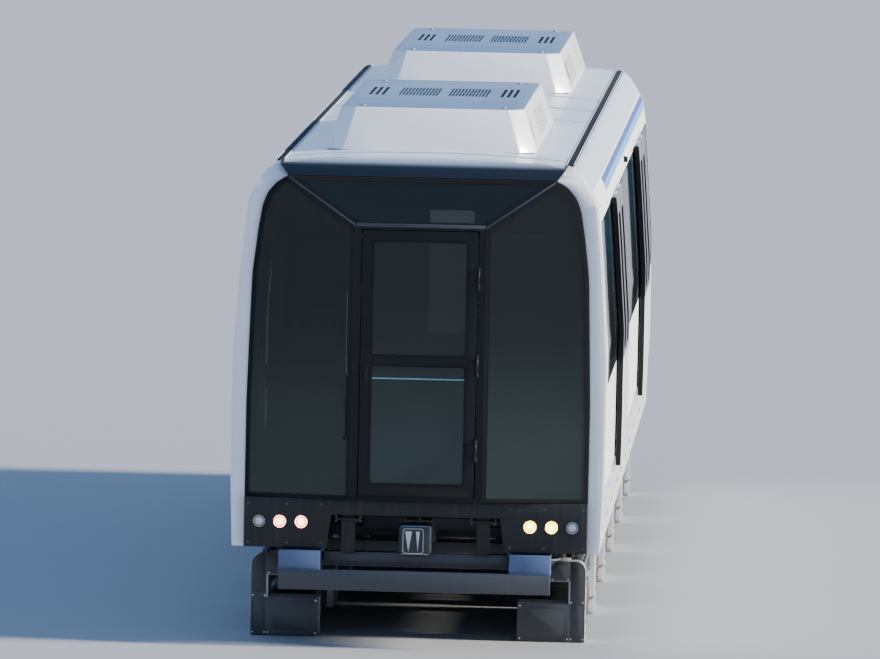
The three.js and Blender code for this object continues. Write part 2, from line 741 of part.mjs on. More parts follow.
function makeDeflector() {
  const { half, back, front, high, foldX, foldZ: drop } = deflector;
  const beamOutline = [
    [back, railTop],
    [front, railTop],
    [front, railTop + high - drop],
    [front - foldX, railTop + high],
    [back, railTop + high],
  ];
  const { inner, rear, front: boxFront, low: boxLow, high: boxHigh } = deflectorBox;
  const box = block(rear, boxFront, inner, half, railTop + boxLow, railTop + boxHigh);
  const { front: tieFront, low: tieLow, high: tieHigh } = deflectorTie;
  const { inner: hangerInner, outer: hangerOuter, low: hangerLow } = deflectorHanger;
  const hanger = block(rear, tieFront, hangerInner, hangerOuter, railTop + hangerLow, floorBottom - seam);
  const web = across(
    [[gusset.rear, railTop + high], [back + 1, railTop + high], [back + 1, railTop + gusset.low]],
    gusset.y - gusset.half, gusset.y + gusset.half);
  const arm = joined([box, hanger, web]);
  return joined([
    across(beamOutline, -half, half),
    block(rear, tieFront, -half, half, railTop + tieLow, railTop + tieHigh),
    arm,
    mirrored(arm),
  ]);
}
place("deflector", makeDeflector(), lightMetal);

// Wiper parked beside the right post
const wiper = { y: -500, half: 8, high: 2500, low: 1500, proud: 12 };
const wiperBoss = { half: 22, low: 1440, proud: 6, sunk: 22 };

function makeWiper() {
  const { y, half, high, low, proud } = wiper;
  const arm = block(noseX - 4, noseX + proud, y - half, y + half, low, high);
  const { sunk, proud: bossProud, half: bossHalf, low: bossLow } = wiperBoss;
  const boss = block(noseX - sunk, noseX + bossProud, y - bossHalf, y + bossHalf, bossLow, low);
  return arm.add(boss).subtract(facets(-seam));
}
place("wiper", makeWiper(), black);

// Modules: two brackets that clasp the rail, a motor beam over it, a magnet beam under it, air springs and
// cross arms. A module is drawn round its own middle, left side.
const bracket = { width: 280, inset: 10 };
const flare = { y: 1064, x: 505, z: 420, radius: 580, neckX: 1085, sides: 32 };
const endCover = { proud: 12, split: 1070, gap: 2, inner: 930, low: 430, topRadius: 70, steps: 3 };
const endPlate = { inner: 705, outer: 925, low: 430, high: 505, proud: 8 };
const spring = { x: 1065, sides: 8, plate: 25, half: 138, reach: 150 };
// Air spring with two bellies: height, radius
const springProfile = [
  [565, 112],
  [655, 138],
  [745, 112],
  [835, 138],
  [springTop - spring.plate + 0.5, 112],
];
const crossArm = { x: 620, half: 60, outer: 740, low: 560, high: 640, footInner: 700, footOuter: 780 };
const motorBeam = { inner: 720, outer: 1080, high: 505 };
const magnetBeam = { inner: 740, outer: 1120, low: 20, high: 250 };
const coil = { count: 8, pitch: 240, face: 1150, half: 95, low: 330, high: 470 };
const magnetCover = { inner: 1110, half: 90, low: 40, high: 230 };
// Pipes along the top, clear of the tray under them: y, z, radius
const pipeTable = [
  [1035, 528, 18],
  [1096, 530, 20],
];
const tray = { reach: 930, inner: 990, outer: 1130, low: 500, high: 512 };
const pipeSides = 6;

// The bracket at a module's front end, with the bow that leaves a waist at its outer face
function makeBracket() {
  const { width } = bracket;
  const section = [
    ...roundedOutline(moduleInner, moduleOuter, 0, moduleTop, [0, 0, endCover.topRadius, 0], endCover.steps),
    [moduleInner, channelTop],
    [channelOuter, channelTop],
    [channelOuter, channelBottom],
    [moduleInner, channelBottom],
  ];
  const casting = along(section, moduleEnd - width, moduleEnd);
  const bow = crosswise(flare.y, cutHalf, flare.x, flare.z, flare.radius, flare.sides);
  const shoulder = block(moduleEnd - width - 1, flare.neckX, flare.y, cutHalf, flare.z, moduleTop + 1);
  return without(casting, [bow, shoulder]);
}

// Covers with round tops and a plate over the rail, on the bracket's end face
function makeEndCovers() {
  const { proud, split, gap, inner, low, topRadius, steps } = endCover;
  const front = moduleEnd + proud;
  const innerCover = roundedOutline(inner, split - gap, low, moduleTop, [0, 0, 0, topRadius], steps);
  const outerCover = roundedOutline(split + gap, moduleOuter, 0, moduleTop, [0, 0, topRadius, 0], steps);
  const plate = endPlate;
  return [
    along(innerCover, moduleEnd - 1, front),
    along(outerCover, moduleEnd - 1, front),
    block(moduleEnd - 1, front, moduleInner, split - gap, 0, channelBottom),
    block(moduleEnd - 1, moduleEnd + plate.proud, plate.inner, plate.outer, plate.low, plate.high),
  ];
}

function makeSpring() {
  const bellies = springProfile.slice(1).map(([z1, r1], k) => {
    const [z0, r0] = springProfile[k];
    return frustum(spring.x, railY, z0, z1, r0, r1, spring.sides);
  });
  const { x, half, reach, plate } = spring;
  const table = block(x - half, x + half, railY - reach, railY + reach, springTop - plate, springTop);
  return [...bellies, table];
}

function makeCrossArm() {
  const { x, half, outer, low, high, footInner, footOuter } = crossArm;
  return [
    block(x - half, x + half, seam / 2, outer, low, high),
    block(x - half, x + half, footInner, footOuter, channelTop + 5, high),
  ];
}

function makeModule() {
  const reach = moduleEnd - bracket.inset;
  const end = joined([makeBracket(), ...makeEndCovers(), ...makeSpring(), ...makeCrossArm()]);
  const beams = [
    block(-reach, reach, magnetBeam.inner, magnetBeam.outer, magnetBeam.low, magnetBeam.high),
    block(-reach, reach, motorBeam.inner, motorBeam.outer, channelTop, motorBeam.high),
    block(-tray.reach, tray.reach, tray.inner, tray.outer, tray.low, tray.high),
  ];
  const pipes = pipeTable.map(([y, z, r]) => lengthwise(-tray.reach, tray.reach, y, z, r, pipeSides));
  const coils = Array.from({ length: coil.count }, (_, k) => {
    const x = (k - (coil.count - 1) / 2) * coil.pitch;
    const { half, inner, low, high } = magnetCover;
    const magnet = block(x - half, x + half, inner, coil.face, low, high);
    return magnet.add(block(x - coil.half, x + coil.half, channelOuter, coil.face, coil.low, coil.high));
  });
  return joined([end, end.mirror([1, 0, 0]), ...beams, ...pipes, ...coils]);
}

const moduleBody = makeModule();
[-2, -1, 0, 1, 2].forEach((n, index) => {
  for (const [sideName, side] of sides) {
    const turned = forSide(moduleBody, side).translate([n * modulePitch, 0, 0]);
    place("module_" + (index + 1) + "_" + sideName, turned, steelGrey);
  }
});

// Inside: benches, handrails, cab partition, desk and seat.
// A bench in section: a seat with a round nose and a backrest that leans, on a plinth.
const benchSpans = [
  ["middle", -2650, 2150],
  ["rear", -6700, -4450],
];
const bench = { depth: 440, low: 1510, seat: 1630, top: 1820, nose: 40, restFoot: 110, restHead: 70 };
const plinth = { back: 20, depth: 260, end: 60 };

function makeBench(x0, x1) {
  const back = halfWidth(bench.seat) - wall - 6;
  const front = back - bench.depth;
  const nose = [0, 0.25, 0.5, 0.75, 1].map((share) => {
    const angle = share * 0.5 * Math.PI;
    const r = bench.nose;
    return [front + r - r * Math.sin(angle), bench.seat - r + r * Math.cos(angle)];
  });
  const profile = [
    [back, bench.low],
    [back, bench.top],
    [back - bench.restHead, bench.top],
    [back - bench.restFoot, bench.seat],
    ...nose,
    [front, bench.low],
  ];
  const { end, depth, back: inset } = plinth;
  const foot = block(x0 + end, x1 - end, back - depth, back - inset, floorTop + seam, bench.low + 1);
  return along(profile, x0, x1).add(foot);
}
for (const [sideName, side] of sides) {
  for (const [part, x0, x1] of benchSpans) {
    place("bench_" + part + "_" + sideName, forSide(makeBench(x0, x1), side), seatBlue);
  }
}

const handrail = { y: 760, z: 3000, radius: 18, rear: -6500, front: 5500, spans: 10, sides: 10 };

function makeHandrail() {
  const { y, z, radius, rear, front, spans, sides: count } = handrail;
  const pitch = (front - rear) / spans;
  const hangers = Array.from({ length: spans + 1 }, (_, k) =>
    upright(rear + k * pitch, y, z, ceiling - seam, radius, count));
  return joined([lengthwise(rear, front, y, z, radius, count), ...hangers]);
}
for (const [sideName, side] of sides) {
  place("handrail_" + sideName, forSide(makeHandrail(), side), chromeLike);
}

// Partition behind the cab, with a doorway and a sunk pane each side of it
const partition = { x: 5760, thick: 40, half: 1100, top: 3200, doorHalf: 330, doorLow: 1200, doorHigh: 3000 };
const partitionPane = { inner: 460, outer: 1000, low: 1980, high: 2850, sink: 12 };

function makePartition() {
  const { x, thick, half, top, doorHalf, doorLow, doorHigh } = partition;
  const { inner, outer, low, high, sink } = partitionPane;
  const pockets = [[x - 1, x + sink], [x + thick - sink, x + thick + 1]].map(([x0, x1]) =>
    block(x0, x1, inner, outer, low, high));
  return without(block(x, x + thick, -half, half, floorTop + seam, top), [
    block(x - 1, x + thick + 1, -doorHalf, doorHalf, doorLow, doorHigh),
    ...pockets,
    ...pockets.map(mirrored),
  ]);
}
place("cab_partition", makePartition(), trimGrey);

const deskOutline = [
  [6380, 1750],
  [6440, 1750],
  [6720, 1900],
  [6720, 1960],
  [6380, 1830],
];
const desk = { right: -1090, left: -480, footRear: 6500, footFront: 6710, footInset: 35, footTop: 1800 };

function makeDesk() {
  const { right, left, footRear, footFront, footInset, footTop } = desk;
  const foot = block(footRear, footFront, right + footInset, left - footInset, floorTop + seam, footTop);
  return across(deskOutline, right, left).add(foot);
}
place("driver_desk", makeDesk(), black);

const cabSeat = { x: 6050, y: -760, postRadius: 60, half: 210, low: 1590, high: 1700 };
const cabSeatRest = { half: 200, thick: 90, top: 2300 };

function makeCabSeat() {
  const { x, y, postRadius, half, low, high } = cabSeat;
  const { half: restHalf, thick, top } = cabSeatRest;
  const pad = roundedOutline(y - half, y + half, low, high, evenly(30), 3);
  const rest = roundedOutline(y - restHalf, y + restHalf, high - 20, top, [0, 0, 70, 70], 4);
  return joined([
    upright(x, y, floorTop + seam, low + 10, postRadius, 12),
    along(pad, x - half, x + half),
    along(rest, x - half, x - half + thick),
  ]);
}
place("driver_seat", makeCabSeat(), seatBlue);

export default car;
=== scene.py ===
import bpy
import bmesh
import math
from mathutils import Matrix, Vector


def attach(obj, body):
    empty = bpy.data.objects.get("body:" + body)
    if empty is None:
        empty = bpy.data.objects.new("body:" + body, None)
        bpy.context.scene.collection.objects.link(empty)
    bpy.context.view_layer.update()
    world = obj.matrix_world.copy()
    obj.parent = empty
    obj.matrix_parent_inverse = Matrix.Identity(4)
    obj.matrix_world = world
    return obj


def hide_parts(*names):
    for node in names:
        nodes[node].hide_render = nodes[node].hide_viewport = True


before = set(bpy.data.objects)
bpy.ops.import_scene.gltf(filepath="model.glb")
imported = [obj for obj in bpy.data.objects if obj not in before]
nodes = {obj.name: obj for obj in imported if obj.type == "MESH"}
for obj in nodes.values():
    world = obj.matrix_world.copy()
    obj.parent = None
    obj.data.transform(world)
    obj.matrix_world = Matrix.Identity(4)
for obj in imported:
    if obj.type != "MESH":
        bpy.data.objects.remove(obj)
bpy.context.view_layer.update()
scene = bpy.context.scene
print("frame loaded:", len(nodes), "nodes")

# Camera: far off with a long lens, a little above the roof and to the sunny side
photoView = {
    "place": (89.906, 3.43, 8.271),
    "azimuth": 2.365,
    "elevation": 4.314,
    "roll": 1.167,
    "focalPixels": 8238.6,
    "imageWidth": 880,
    "sensor": 36.0,
    "axisPixel": (153.5, 357.4),
    "centrePixel": (168.0, 335.0),
    "closer": 1.45,
    "farClip": 1500.0,
}


def placeCamera(view):
    azimuth, elevation, roll = (math.radians(view[k]) for k in ("azimuth", "elevation", "roll"))
    level = math.cos(elevation)
    back = Vector((level * math.cos(azimuth), level * math.sin(azimuth), math.sin(elevation)))
    right = (-back).cross(Vector((0, 0, 1))).normalized()
    up = right.cross(-back)
    tiltedRight = right * math.cos(roll) + up * math.sin(roll)
    tiltedUp = up * math.cos(roll) - right * math.sin(roll)
    across = (view["centrePixel"][0] - view["axisPixel"][0]) / view["focalPixels"]
    down = (view["centrePixel"][1] - view["axisPixel"][1]) / view["focalPixels"]
    ahead = (-back + tiltedRight * across - tiltedUp * down).normalized()
    side = ahead.cross(tiltedUp).normalized()
    data = bpy.data.cameras.new("photoCamera")
    data.sensor_width = view["sensor"]
    data.sensor_fit = "HORIZONTAL"
    data.lens = view["focalPixels"] * view["closer"] * view["sensor"] / view["imageWidth"]
    data.clip_end = view["farClip"]
    camera = bpy.data.objects.new("photoCamera", data)
    turn = Matrix((side, side.cross(ahead), -ahead)).transposed().to_4x4()
    camera.matrix_world = Matrix.Translation(view["place"]) @ turn
    scene.collection.objects.link(camera)
    scene.camera = camera


placeCamera(photoView)


# Materials
def toLinear(hexColour):
    channels = [int(hexColour[i:i + 2], 16) / 255 for i in (1, 3, 5)]
    linear = [c / 12.92 if c <= 0.04045 else ((c + 0.055) / 1.055) ** 2.4 for c in channels]
    return (*linear, 1.0)


def addNode(tree, kind, settings=None, links=None):
    node = tree.nodes.new(kind)
    for key, value in (settings or {}).items():
        if isinstance(key, int) or key[0].isupper():
            node.inputs[key].default_value = value
        else:
            setattr(node, key, value)
    for key, (source, output) in (links or {}).items():
        tree.links.new(source.outputs[output], node.inputs[key])
    return node


def surface(name, colour, shade, roughness, spread=0.05, patch=0.6, grain=3.0, relief=0.05,
            stretch=(1, 1, 1), sockets=None):
    # patch in metres, grain and relief in millimetres
    material = bpy.data.materials.new(name)
    material.use_nodes = True
    tree = material.node_tree
    shader = tree.nodes["Principled BSDF"]
    coords = addNode(tree, "ShaderNodeTexCoord")
    turned = addNode(tree, "ShaderNodeMapping", {"Scale": stretch}, {"Vector": (coords, "Object")})
    cloud = addNode(tree, "ShaderNodeTexNoise", {"Scale": 1 / patch, "Detail": 5.0, "Roughness": 0.6},
                    {"Vector": (turned, "Vector")})
    tone = addNode(tree, "ShaderNodeMix", {"data_type": "RGBA", 6: toLinear(colour), 7: toLinear(shade)},
                   {"Factor": (cloud, "Fac")})
    rough = addNode(tree, "ShaderNodeMapRange",
                    {"From Min": 0.3, "From Max": 0.7, "To Min": roughness - spread,
                     "To Max": roughness + spread},
                    {"Value": (cloud, "Fac")})
    tree.links.new(tone.outputs[2], shader.inputs["Base Color"])
    tree.links.new(rough.outputs["Result"], shader.inputs["Roughness"])
    if relief:
        fine = addNode(tree, "ShaderNodeTexNoise", {"Scale": 1000 / grain, "Detail": 2.0},
                       {"Vector": (coords, "Object")})
        bump = addNode(tree, "ShaderNodeBump", {"Distance": relief / 1000}, {"Height": (fine, "Fac")})
        tree.links.new(bump.outputs["Normal"], shader.inputs["Normal"])
    for socket, value in (sockets or {}).items():
        shader.inputs[socket].default_value = value
    return material


def recolour(material, chooser, output, colour):
    # lays a second colour over the base colour where the chooser gives 1
    tree = material.node_tree
    shader = tree.nodes["Principled BSDF"]
    under = shader.inputs["Base Color"].links[0].from_socket
    over = addNode(tree, "ShaderNodeMix", {"data_type": "RGBA", 7: toLinear(colour)},
                   {"Factor": (chooser, output)})
    tree.links.new(under, over.inputs[6])
    tree.links.new(over.outputs[2], shader.inputs["Base Color"])


def between(tree, value, output, low, high, blur=0.0015):
    # 1 where the value lies between low and high, in metres, with a soft edge
    rise, fall = (addNode(tree, "ShaderNodeMapRange",
                          {"From Min": edge - blur, "From Max": edge + blur, "To Min": start,
                           "To Max": 1.0 - start},
                          {"Value": (value, output)}) for edge, start in ((low, 0.0), (high, 1.0)))
    return addNode(tree, "ShaderNodeMath", {"operation": "MULTIPLY"},
                   {0: (rise, "Result"), 1: (fall, "Result")})


def streaked(material, colour, share, width=0.05, length=0.9):
    # rain streaks: noise drawn out downwards
    tree = material.node_tree
    coords = addNode(tree, "ShaderNodeTexCoord")
    drawn = addNode(tree, "ShaderNodeMapping", {"Scale": (1 / width, 1 / width, 1 / length)},
                    {"Vector": (coords, "Object")})
    lines = addNode(tree, "ShaderNodeTexNoise", {"Scale": 1.0, "Detail": 3.0}, {"Vector": (drawn, "Vector")})
    amount = addNode(tree, "ShaderNodeMapRange",
                     {"From Min": 0.52, "From Max": 0.8, "To Min": 0.0, "To Max": share},
                     {"Value": (lines, "Fac")})
    recolour(material, amount, "Result", colour)
    return material


# Two-pack gloss paint on aluminium: soft mirror, faint orange peel, thin rain streaks
paintSockets = {"Coat Weight": 0.5, "Coat Roughness": 0.08}
glossWhite = streaked(surface("glossWhitePaint", "#eef0f1", "#e4e7e9", 0.28, grain=5, relief=0.02,
                              sockets=paintSockets), "#c3c6c8", 0.16)
# The same paint on the long walls, a little chalky: it keeps the stripe's blue at a grazing look
wallPaint = streaked(surface("wallWhitePaint", "#eef0f1", "#e4e7e9", 0.36, grain=5, relief=0.02,
                             sockets={"Coat Weight": 0.1, "Coat Roughness": 0.15}), "#c3c6c8", 0.14)
# Satin roof paint, tinted blue-grey as a painted reflection of the sky: dulled by weather, with grey dirt in
# clouds
roofPaint = surface("satinRoofPaint", "#ccd6e3", "#aebccd", 0.38, patch=0.9, grain=4, relief=0.05,
                    sockets={"Coat Weight": 0.4, "Coat Roughness": 0.15})
# Dark slate gloss paint of the hood; it gets paler towards the roof, where it bends up to the sky, as a
# painted reflection
slatePaint = surface("slateGlossPaint", "#101317", "#0c0e12", 0.22, grain=5, relief=0.02,
                     sockets={"Coat Weight": 0.25, "Coat Roughness": 0.08})
# Satin metal lids of the roof units, blue as a painted reflection of the sky
lidPaintedSky = surface("lidPaintedSkyBlue", "#7f99ba", "#6885a8", 0.4, patch=0.8, grain=4, relief=0.04,
                   sockets={"Metallic": 0.6})
# Dark grey satin paint of the lower mask, dusty
maskPaint = streaked(surface("maskSatinPaint", "#1e2022", "#17191b", 0.42, patch=0.3, grain=3, relief=0.03,
                             sockets={"Specular IOR Level": 0.35}), "#4a453d", 0.3)
# Black stoved paint of posts and frames
framePaint = surface("blackStovedPaint", "#0b0c0e", "#121417", 0.36, patch=0.3, grain=2, relief=0.02,
                     sockets={"Specular IOR Level": 0.25})
# White gloss paint of the doors, under their grey band
doorPaint = surface("doorWhitePaint", "#eef0f1", "#e2e5e7", 0.3, grain=5, relief=0.02, sockets=paintSockets)
# Grey anodised trim on the folds: a thin lit line on the black border
trimPaint = surface("anodisedTrim", "#42464d", "#353940", 0.4, patch=0.3, grain=2, relief=0.02,
                    sockets={"Metallic": 0.3})
# EPDM rubber: matt, slightly bloomed
rubber = surface("sealRubber", "#0f1011", "#191a1c", 0.72, patch=0.15, grain=1.5, relief=0.06,
                 sockets={"Specular IOR Level": 0.2})
# Sand-cast aluminium, lightly blasted: pale grey with a fine pitted skin
castAlloy = surface("castAluminium", "#c3c8ce", "#a3a9b1", 0.48, spread=0.08, patch=0.18, grain=6, relief=0.3,
                    sockets={"Metallic": 0.55})
# Dark satin paint of the end shells and damper caps, its dark a painted shade of their shadowed front ends:
# light only on its edges
shadedShellPaint = surface("shadedShellPaint", "#3d4045", "#2c2f33", 0.42, patch=0.2, grain=3, relief=0.08)
# Epoxy resin that the motor coils are potted in: dark, waxy, and darker still as painted shade under the
# skirt
coilResin = surface("pottedResin", "#30343a", "#22262b", 0.5, patch=0.1, grain=4, relief=0.2)
# Ochre glass tape wound round the magnet coils, darkened to brown as painted shade under the skirt
coilTape = surface("glassTape", "#5f4b35", "#433423", 0.66, patch=0.12, grain=3, relief=0.3)
# Grey chassis paint: matt, dusty from the open line
underPaint = surface("chassisPaint", "#4c5056", "#3a3d42", 0.6, spread=0.1, patch=0.35, grain=4, relief=0.15)
# Air-dried paint of the deflector, grey-blue as painted shade: the sky-lit blue of its boxes in shadow
deflectorShadeBluePaint = streaked(surface("deflectorShadeBluePaint", "#4c6185", "#405475", 0.42, patch=0.3, grain=4,
                                  relief=0.05, sockets={"Coat Weight": 0.2}), "#5b5f66", 0.35)
# Darker grey-blue paint of the deflector's beam
beamPaint = streaked(surface("beamPaint", "#33373f", "#2a2e35", 0.45, patch=0.4, grain=4, relief=0.05,
                             sockets={"Coat Weight": 0.2}), "#3c4048", 0.3)
# Coated fabric of the bellows: grey, dull, with a woven grain
bellowsCloth = surface("bellowsCloth", "#64686d", "#4f5358", 0.8, patch=0.25, grain=3, relief=0.3)
# Brushed stainless steel tube
stainless = surface("brushedStainless", "#cfd2d5", "#b5b9bd", 0.26, patch=0.05, grain=2, relief=0.02,
                    stretch=(0.1, 1, 1), sockets={"Metallic": 1.0})
# Wool moquette: deep blue pile with a light sheen
moquette = surface("woolMoquette", "#34568a", "#243e68", 0.92, patch=0.012, grain=4, relief=0.8,
                   sockets={"Sheen Weight": 0.5, "Sheen Roughness": 0.4})
# Moulded lining panels, fine leather-like grain
lining = surface("mouldedLining", "#a7adb4", "#9aa1a9", 0.5, patch=0.4, grain=2, relief=0.1)
# Black textured moulding of the desk: soft, no mirror
deskPlastic = surface("deskMoulding", "#1d1f22", "#25282c", 0.5, patch=0.2, grain=1.5, relief=0.15)
# Cast steel of the couplers: oiled, dark, a little rough
couplerSteel = surface("oiledCastSteel", "#3f444b", "#2c3036", 0.45, spread=0.1, patch=0.08, grain=5,
                       relief=0.4, sockets={"Metallic": 0.7})
# Machined faces: bright, finely lined
machinedSteel = surface("machinedSteel", "#c4c8cc", "#a4a9ae", 0.3, patch=0.06, grain=1.5, relief=0.03,
                        sockets={"Metallic": 1.0})
# Vapour-coated lamp bowls: a near mirror
reflector = surface("aluminisedReflector", "#dfe2e6", "#cfd3d8", 0.12, patch=0.02, grain=2, relief=0.01,
                    sockets={"Metallic": 1.0})
# Speckled vinyl floor covering: matt grey
floorVinyl = surface("speckledVinyl", "#6d7277", "#5b6066", 0.55, patch=0.006, grain=2, relief=0.05)


def glass(name, tint, shade, alpha, index=1.5, roughness=0.03):
    # tinted laminated glass: dark from outside, with a clean mirror and a faint view in; its ripple is too
    # fine to show, so it has no relief
    return surface(name, tint, shade, roughness, spread=0.01, patch=1.1, relief=0,
                   sockets={"Alpha": alpha, "IOR": index})


sideGlass = glass("tintedSideGlass", "#312f2f", "#262728", 0.78, 1.65)
# the front panes' broad clouds of lighter and darker tint are painted reflections
screenGlass = glass("laminatedScreen", "#35443f", "#18211f", 0.8, 1.45)
doorGlass = glass("frontDoorPane", "#334541", "#1f2d2a", 0.9, 1.45)
lampLens = glass("clearPolycarbonate", "#e9edf0", "#e9edf0", 0.18, roughness=0.05)
displayGlass = glass("displayGlass", "#0c1013", "#0c1013", 1.0, roughness=0.08)
# Pale blue-green edge line of the double glazing
spacerLine = surface("paneSpacer", "#6fa9b4", "#5d95a3", 0.4, patch=0.2, grain=2, relief=0.01)


def glow(name, colour, strength):
    # lit filament seen through its lens: brighter at the middle of its bowl
    material = surface(name, colour, colour, 0.4, grain=3, relief=0.01)
    shader = material.node_tree.nodes["Principled BSDF"]
    shader.inputs["Emission Color"].default_value = toLinear(colour)
    shader.inputs["Emission Strength"].default_value = strength
    return material


warmLamp = glow("warmLampGlow", "#ffcf2e", 26.0)
rosyLamp = glow("rosyLampGlow", "#ffa58c", 16.0)
seaLed = glow("indicatorGlow", "#6fe0d0", 1.2)

# The stripe under the cantrail, the grey of the doors at window height, the dark wall between a door pair
# and the window beside it, and painted reflections on the panes and the hood: the hood paler and the side
# panes bluer upwards, the front panes darker upwards
stripe = {"low": 3.08, "split": 3.139, "high": 3.18, "ends": (-7.1, 4.6), "light": "#4f98dc",
          "dark": "#17408f"}
doorBand = {"heights": (1.83, 3.2), "colour": "#5b6068"}
filler = {"heights": (1.82, 2.96), "spans": ((-4.41, -4.29), (3.84, 3.91)), "colour": "#33373d"}
paintedReflections = ((slatePaint, "#a9b9cc", 3.352, 3.428), (sideGlass, "#2c4c62", 2.0, 2.95),
         (screenGlass, "#0e1614", 1.2, 2.5), (doorGlass, "#0e1614", 1.2, 2.5))


def placeIn(material):
    tree = material.node_tree
    coords = addNode(tree, "ShaderNodeTexCoord")
    return tree, addNode(tree, "ShaderNodeSeparateXYZ", {}, {"Vector": (coords, "Object")})


def addBand(material, colour, heights, ends=None):
    # a level band of colour, the whole length or between two ends
    tree, place = placeIn(material)
    chosen = between(tree, place, "Z", *heights)
    if ends:
        span = between(tree, place, "X", *ends)
        chosen = addNode(tree, "ShaderNodeMath", {"operation": "MULTIPLY"}, {0: (span, 0), 1: (chosen, 0)})
    recolour(material, chosen, 0, colour)


def fadeUp(material, colour, low, high):
    tree, place = placeIn(material)
    rise = addNode(tree, "ShaderNodeMapRange",
                   {"interpolation_type": "SMOOTHSTEP", "From Min": low, "From Max": high},
                   {"Value": (place, "Z")})
    recolour(material, rise, "Result", colour)


addBand(wallPaint, stripe["light"], (stripe["low"], stripe["split"]), stripe["ends"])
addBand(wallPaint, stripe["dark"], (stripe["split"], stripe["high"]), stripe["ends"])
for span in filler["spans"]:
    addBand(wallPaint, filler["colour"], filler["heights"], span)
addBand(doorPaint, doorBand["colour"], doorBand["heights"])
for fade in paintedReflections:
    fadeUp(*fade)
print("materials made")


# Mesh helpers
def pour(bm, part, slot=None, matrix=None):
    # empties a finished part into its piece
    if slot is not None:
        for face in part.faces:
            face.material_index = slot
    if matrix:
        bmesh.ops.transform(part, matrix=matrix, verts=part.verts)
    holder = bpy.data.meshes.new("holder")
    part.to_mesh(holder)
    part.free()
    bm.from_mesh(holder)
    bpy.data.meshes.remove(holder)


def roundEdges(part, width, angle=40, steps=2):
    bmesh.ops.recalc_face_normals(part, faces=part.faces)
    sharp = [e for e in part.edges if len(e.link_faces) == 2 and e.calc_face_angle(0) > math.radians(angle)]
    bmesh.ops.bevel(part, geom=sharp, offset=width, affect="EDGES", segments=steps, profile=0.5, material=-1,
                    clamp_overlap=True)


def addBox(bm, corner, opposite, slot=0, bevel=0.0, steps=2, matrix=None):
    low, high = (Vector([pick(pair) for pair in zip(corner, opposite)]) for pick in (min, max))
    part = bmesh.new()
    size = Matrix.Diagonal((*(high - low), 1))
    bmesh.ops.create_cube(part, size=1.0, matrix=Matrix.Translation((low + high) / 2) @ size)
    if bevel:
        roundEdges(part, bevel, steps=steps)
    pour(bm, part, slot, matrix)


def alignTo(start, end):
    start, end = Vector(start), Vector(end)
    return Matrix.Translation((start + end) / 2) @ (end - start).to_track_quat("Z", "Y").to_matrix().to_4x4()


def addRod(bm, start, end, radius, sides=12, slot=0, endRadius=None, bevel=0.0):
    part = bmesh.new()
    depth = (Vector(end) - Vector(start)).length
    tip = radius if endRadius is None else endRadius
    bmesh.ops.create_cone(part, cap_ends=True, segments=sides, radius1=radius, radius2=tip, depth=depth)
    if bevel:
        roundEdges(part, bevel, angle=60)
    pour(bm, part, slot, alignTo(start, end))


def addBolts(bm, places, axis, radius, height, slot=0, sides=6, bevel=0.0):
    for place in places:
        top = Vector(place)
        top["xyz".index(axis)] += height
        addRod(bm, place, top, radius, sides, slot, bevel=bevel)


def addBeam(bm, start, end, width, height, slot=0, bevel=0.0):
    # a bar from start to end, width across and height up when it runs level
    length = (Vector(end) - Vector(start)).length
    addBox(bm, (-width / 2, -height / 2, -length / 2), (width / 2, height / 2, length / 2), slot, bevel,
           matrix=alignTo(start, end))


def spot(axis, a, b, t):
    return {"x": (t, a, b), "y": (a, t, b), "z": (a, b, t)}[axis]


def prism(outline, axis, start, end, soften=0.0, only=None, steps=3, bevel=0.0, rounds=()):
    # an outline across the axis, drawn out along it; rounds holds a radius and the corners that it turns
    part = bmesh.new()
    corners = [part.verts.new(spot(axis, a, b, start)) for a, b in outline]
    part.faces.new(corners)
    for radius, chosen in rounds or [(soften, only)]:
        if radius:
            turned = corners if chosen is None else [corners[i] for i in chosen]
            bmesh.ops.bevel(part, geom=turned, offset=radius, affect="VERTICES", segments=steps, profile=0.5,
                            material=-1, clamp_overlap=True)
    grown = bmesh.ops.extrude_face_region(part, geom=part.faces[:])["geom"]
    bmesh.ops.translate(part, vec=spot(axis, 0, 0, end - start),
                        verts=[g for g in grown if isinstance(g, bmesh.types.BMVert)])
    bmesh.ops.recalc_face_normals(part, faces=part.faces)
    if bevel:
        roundEdges(part, bevel)
    return part


def addPrism(bm, outline, axis, start, end, slot=0, matrix=None, **shape):
    pour(bm, prism(outline, axis, start, end, **shape), slot, matrix)


def rectangle(a0, a1, b0, b1):
    return [(a0, b0), (a1, b0), (a1, b1), (a0, b1)]


def addTurned(bm, profile, centre, axis="z", steps=24, slot=0):
    # profile of radius and height, spun round the axis
    part = bmesh.new()
    line = [part.verts.new((r, 0, h)) for r, h in profile]
    edges = [part.edges.new(pair) for pair in zip(line, line[1:])]
    bmesh.ops.spin(part, geom=line + edges, cent=(0, 0, 0), axis=(0, 0, 1), angle=2 * math.pi, steps=steps,
                   use_merge=True)
    bmesh.ops.remove_doubles(part, verts=part.verts, dist=1e-6)
    bmesh.ops.holes_fill(part, edges=part.edges, sides=steps + 1)
    bmesh.ops.recalc_face_normals(part, faces=part.faces)
    turns = {"z": Matrix.Identity(4), "x": Matrix.Rotation(math.pi / 2, 4, "Y"),
             "y": Matrix.Rotation(-math.pi / 2, 4, "X")}
    pour(bm, part, slot, Matrix.Translation(centre) @ turns[axis])


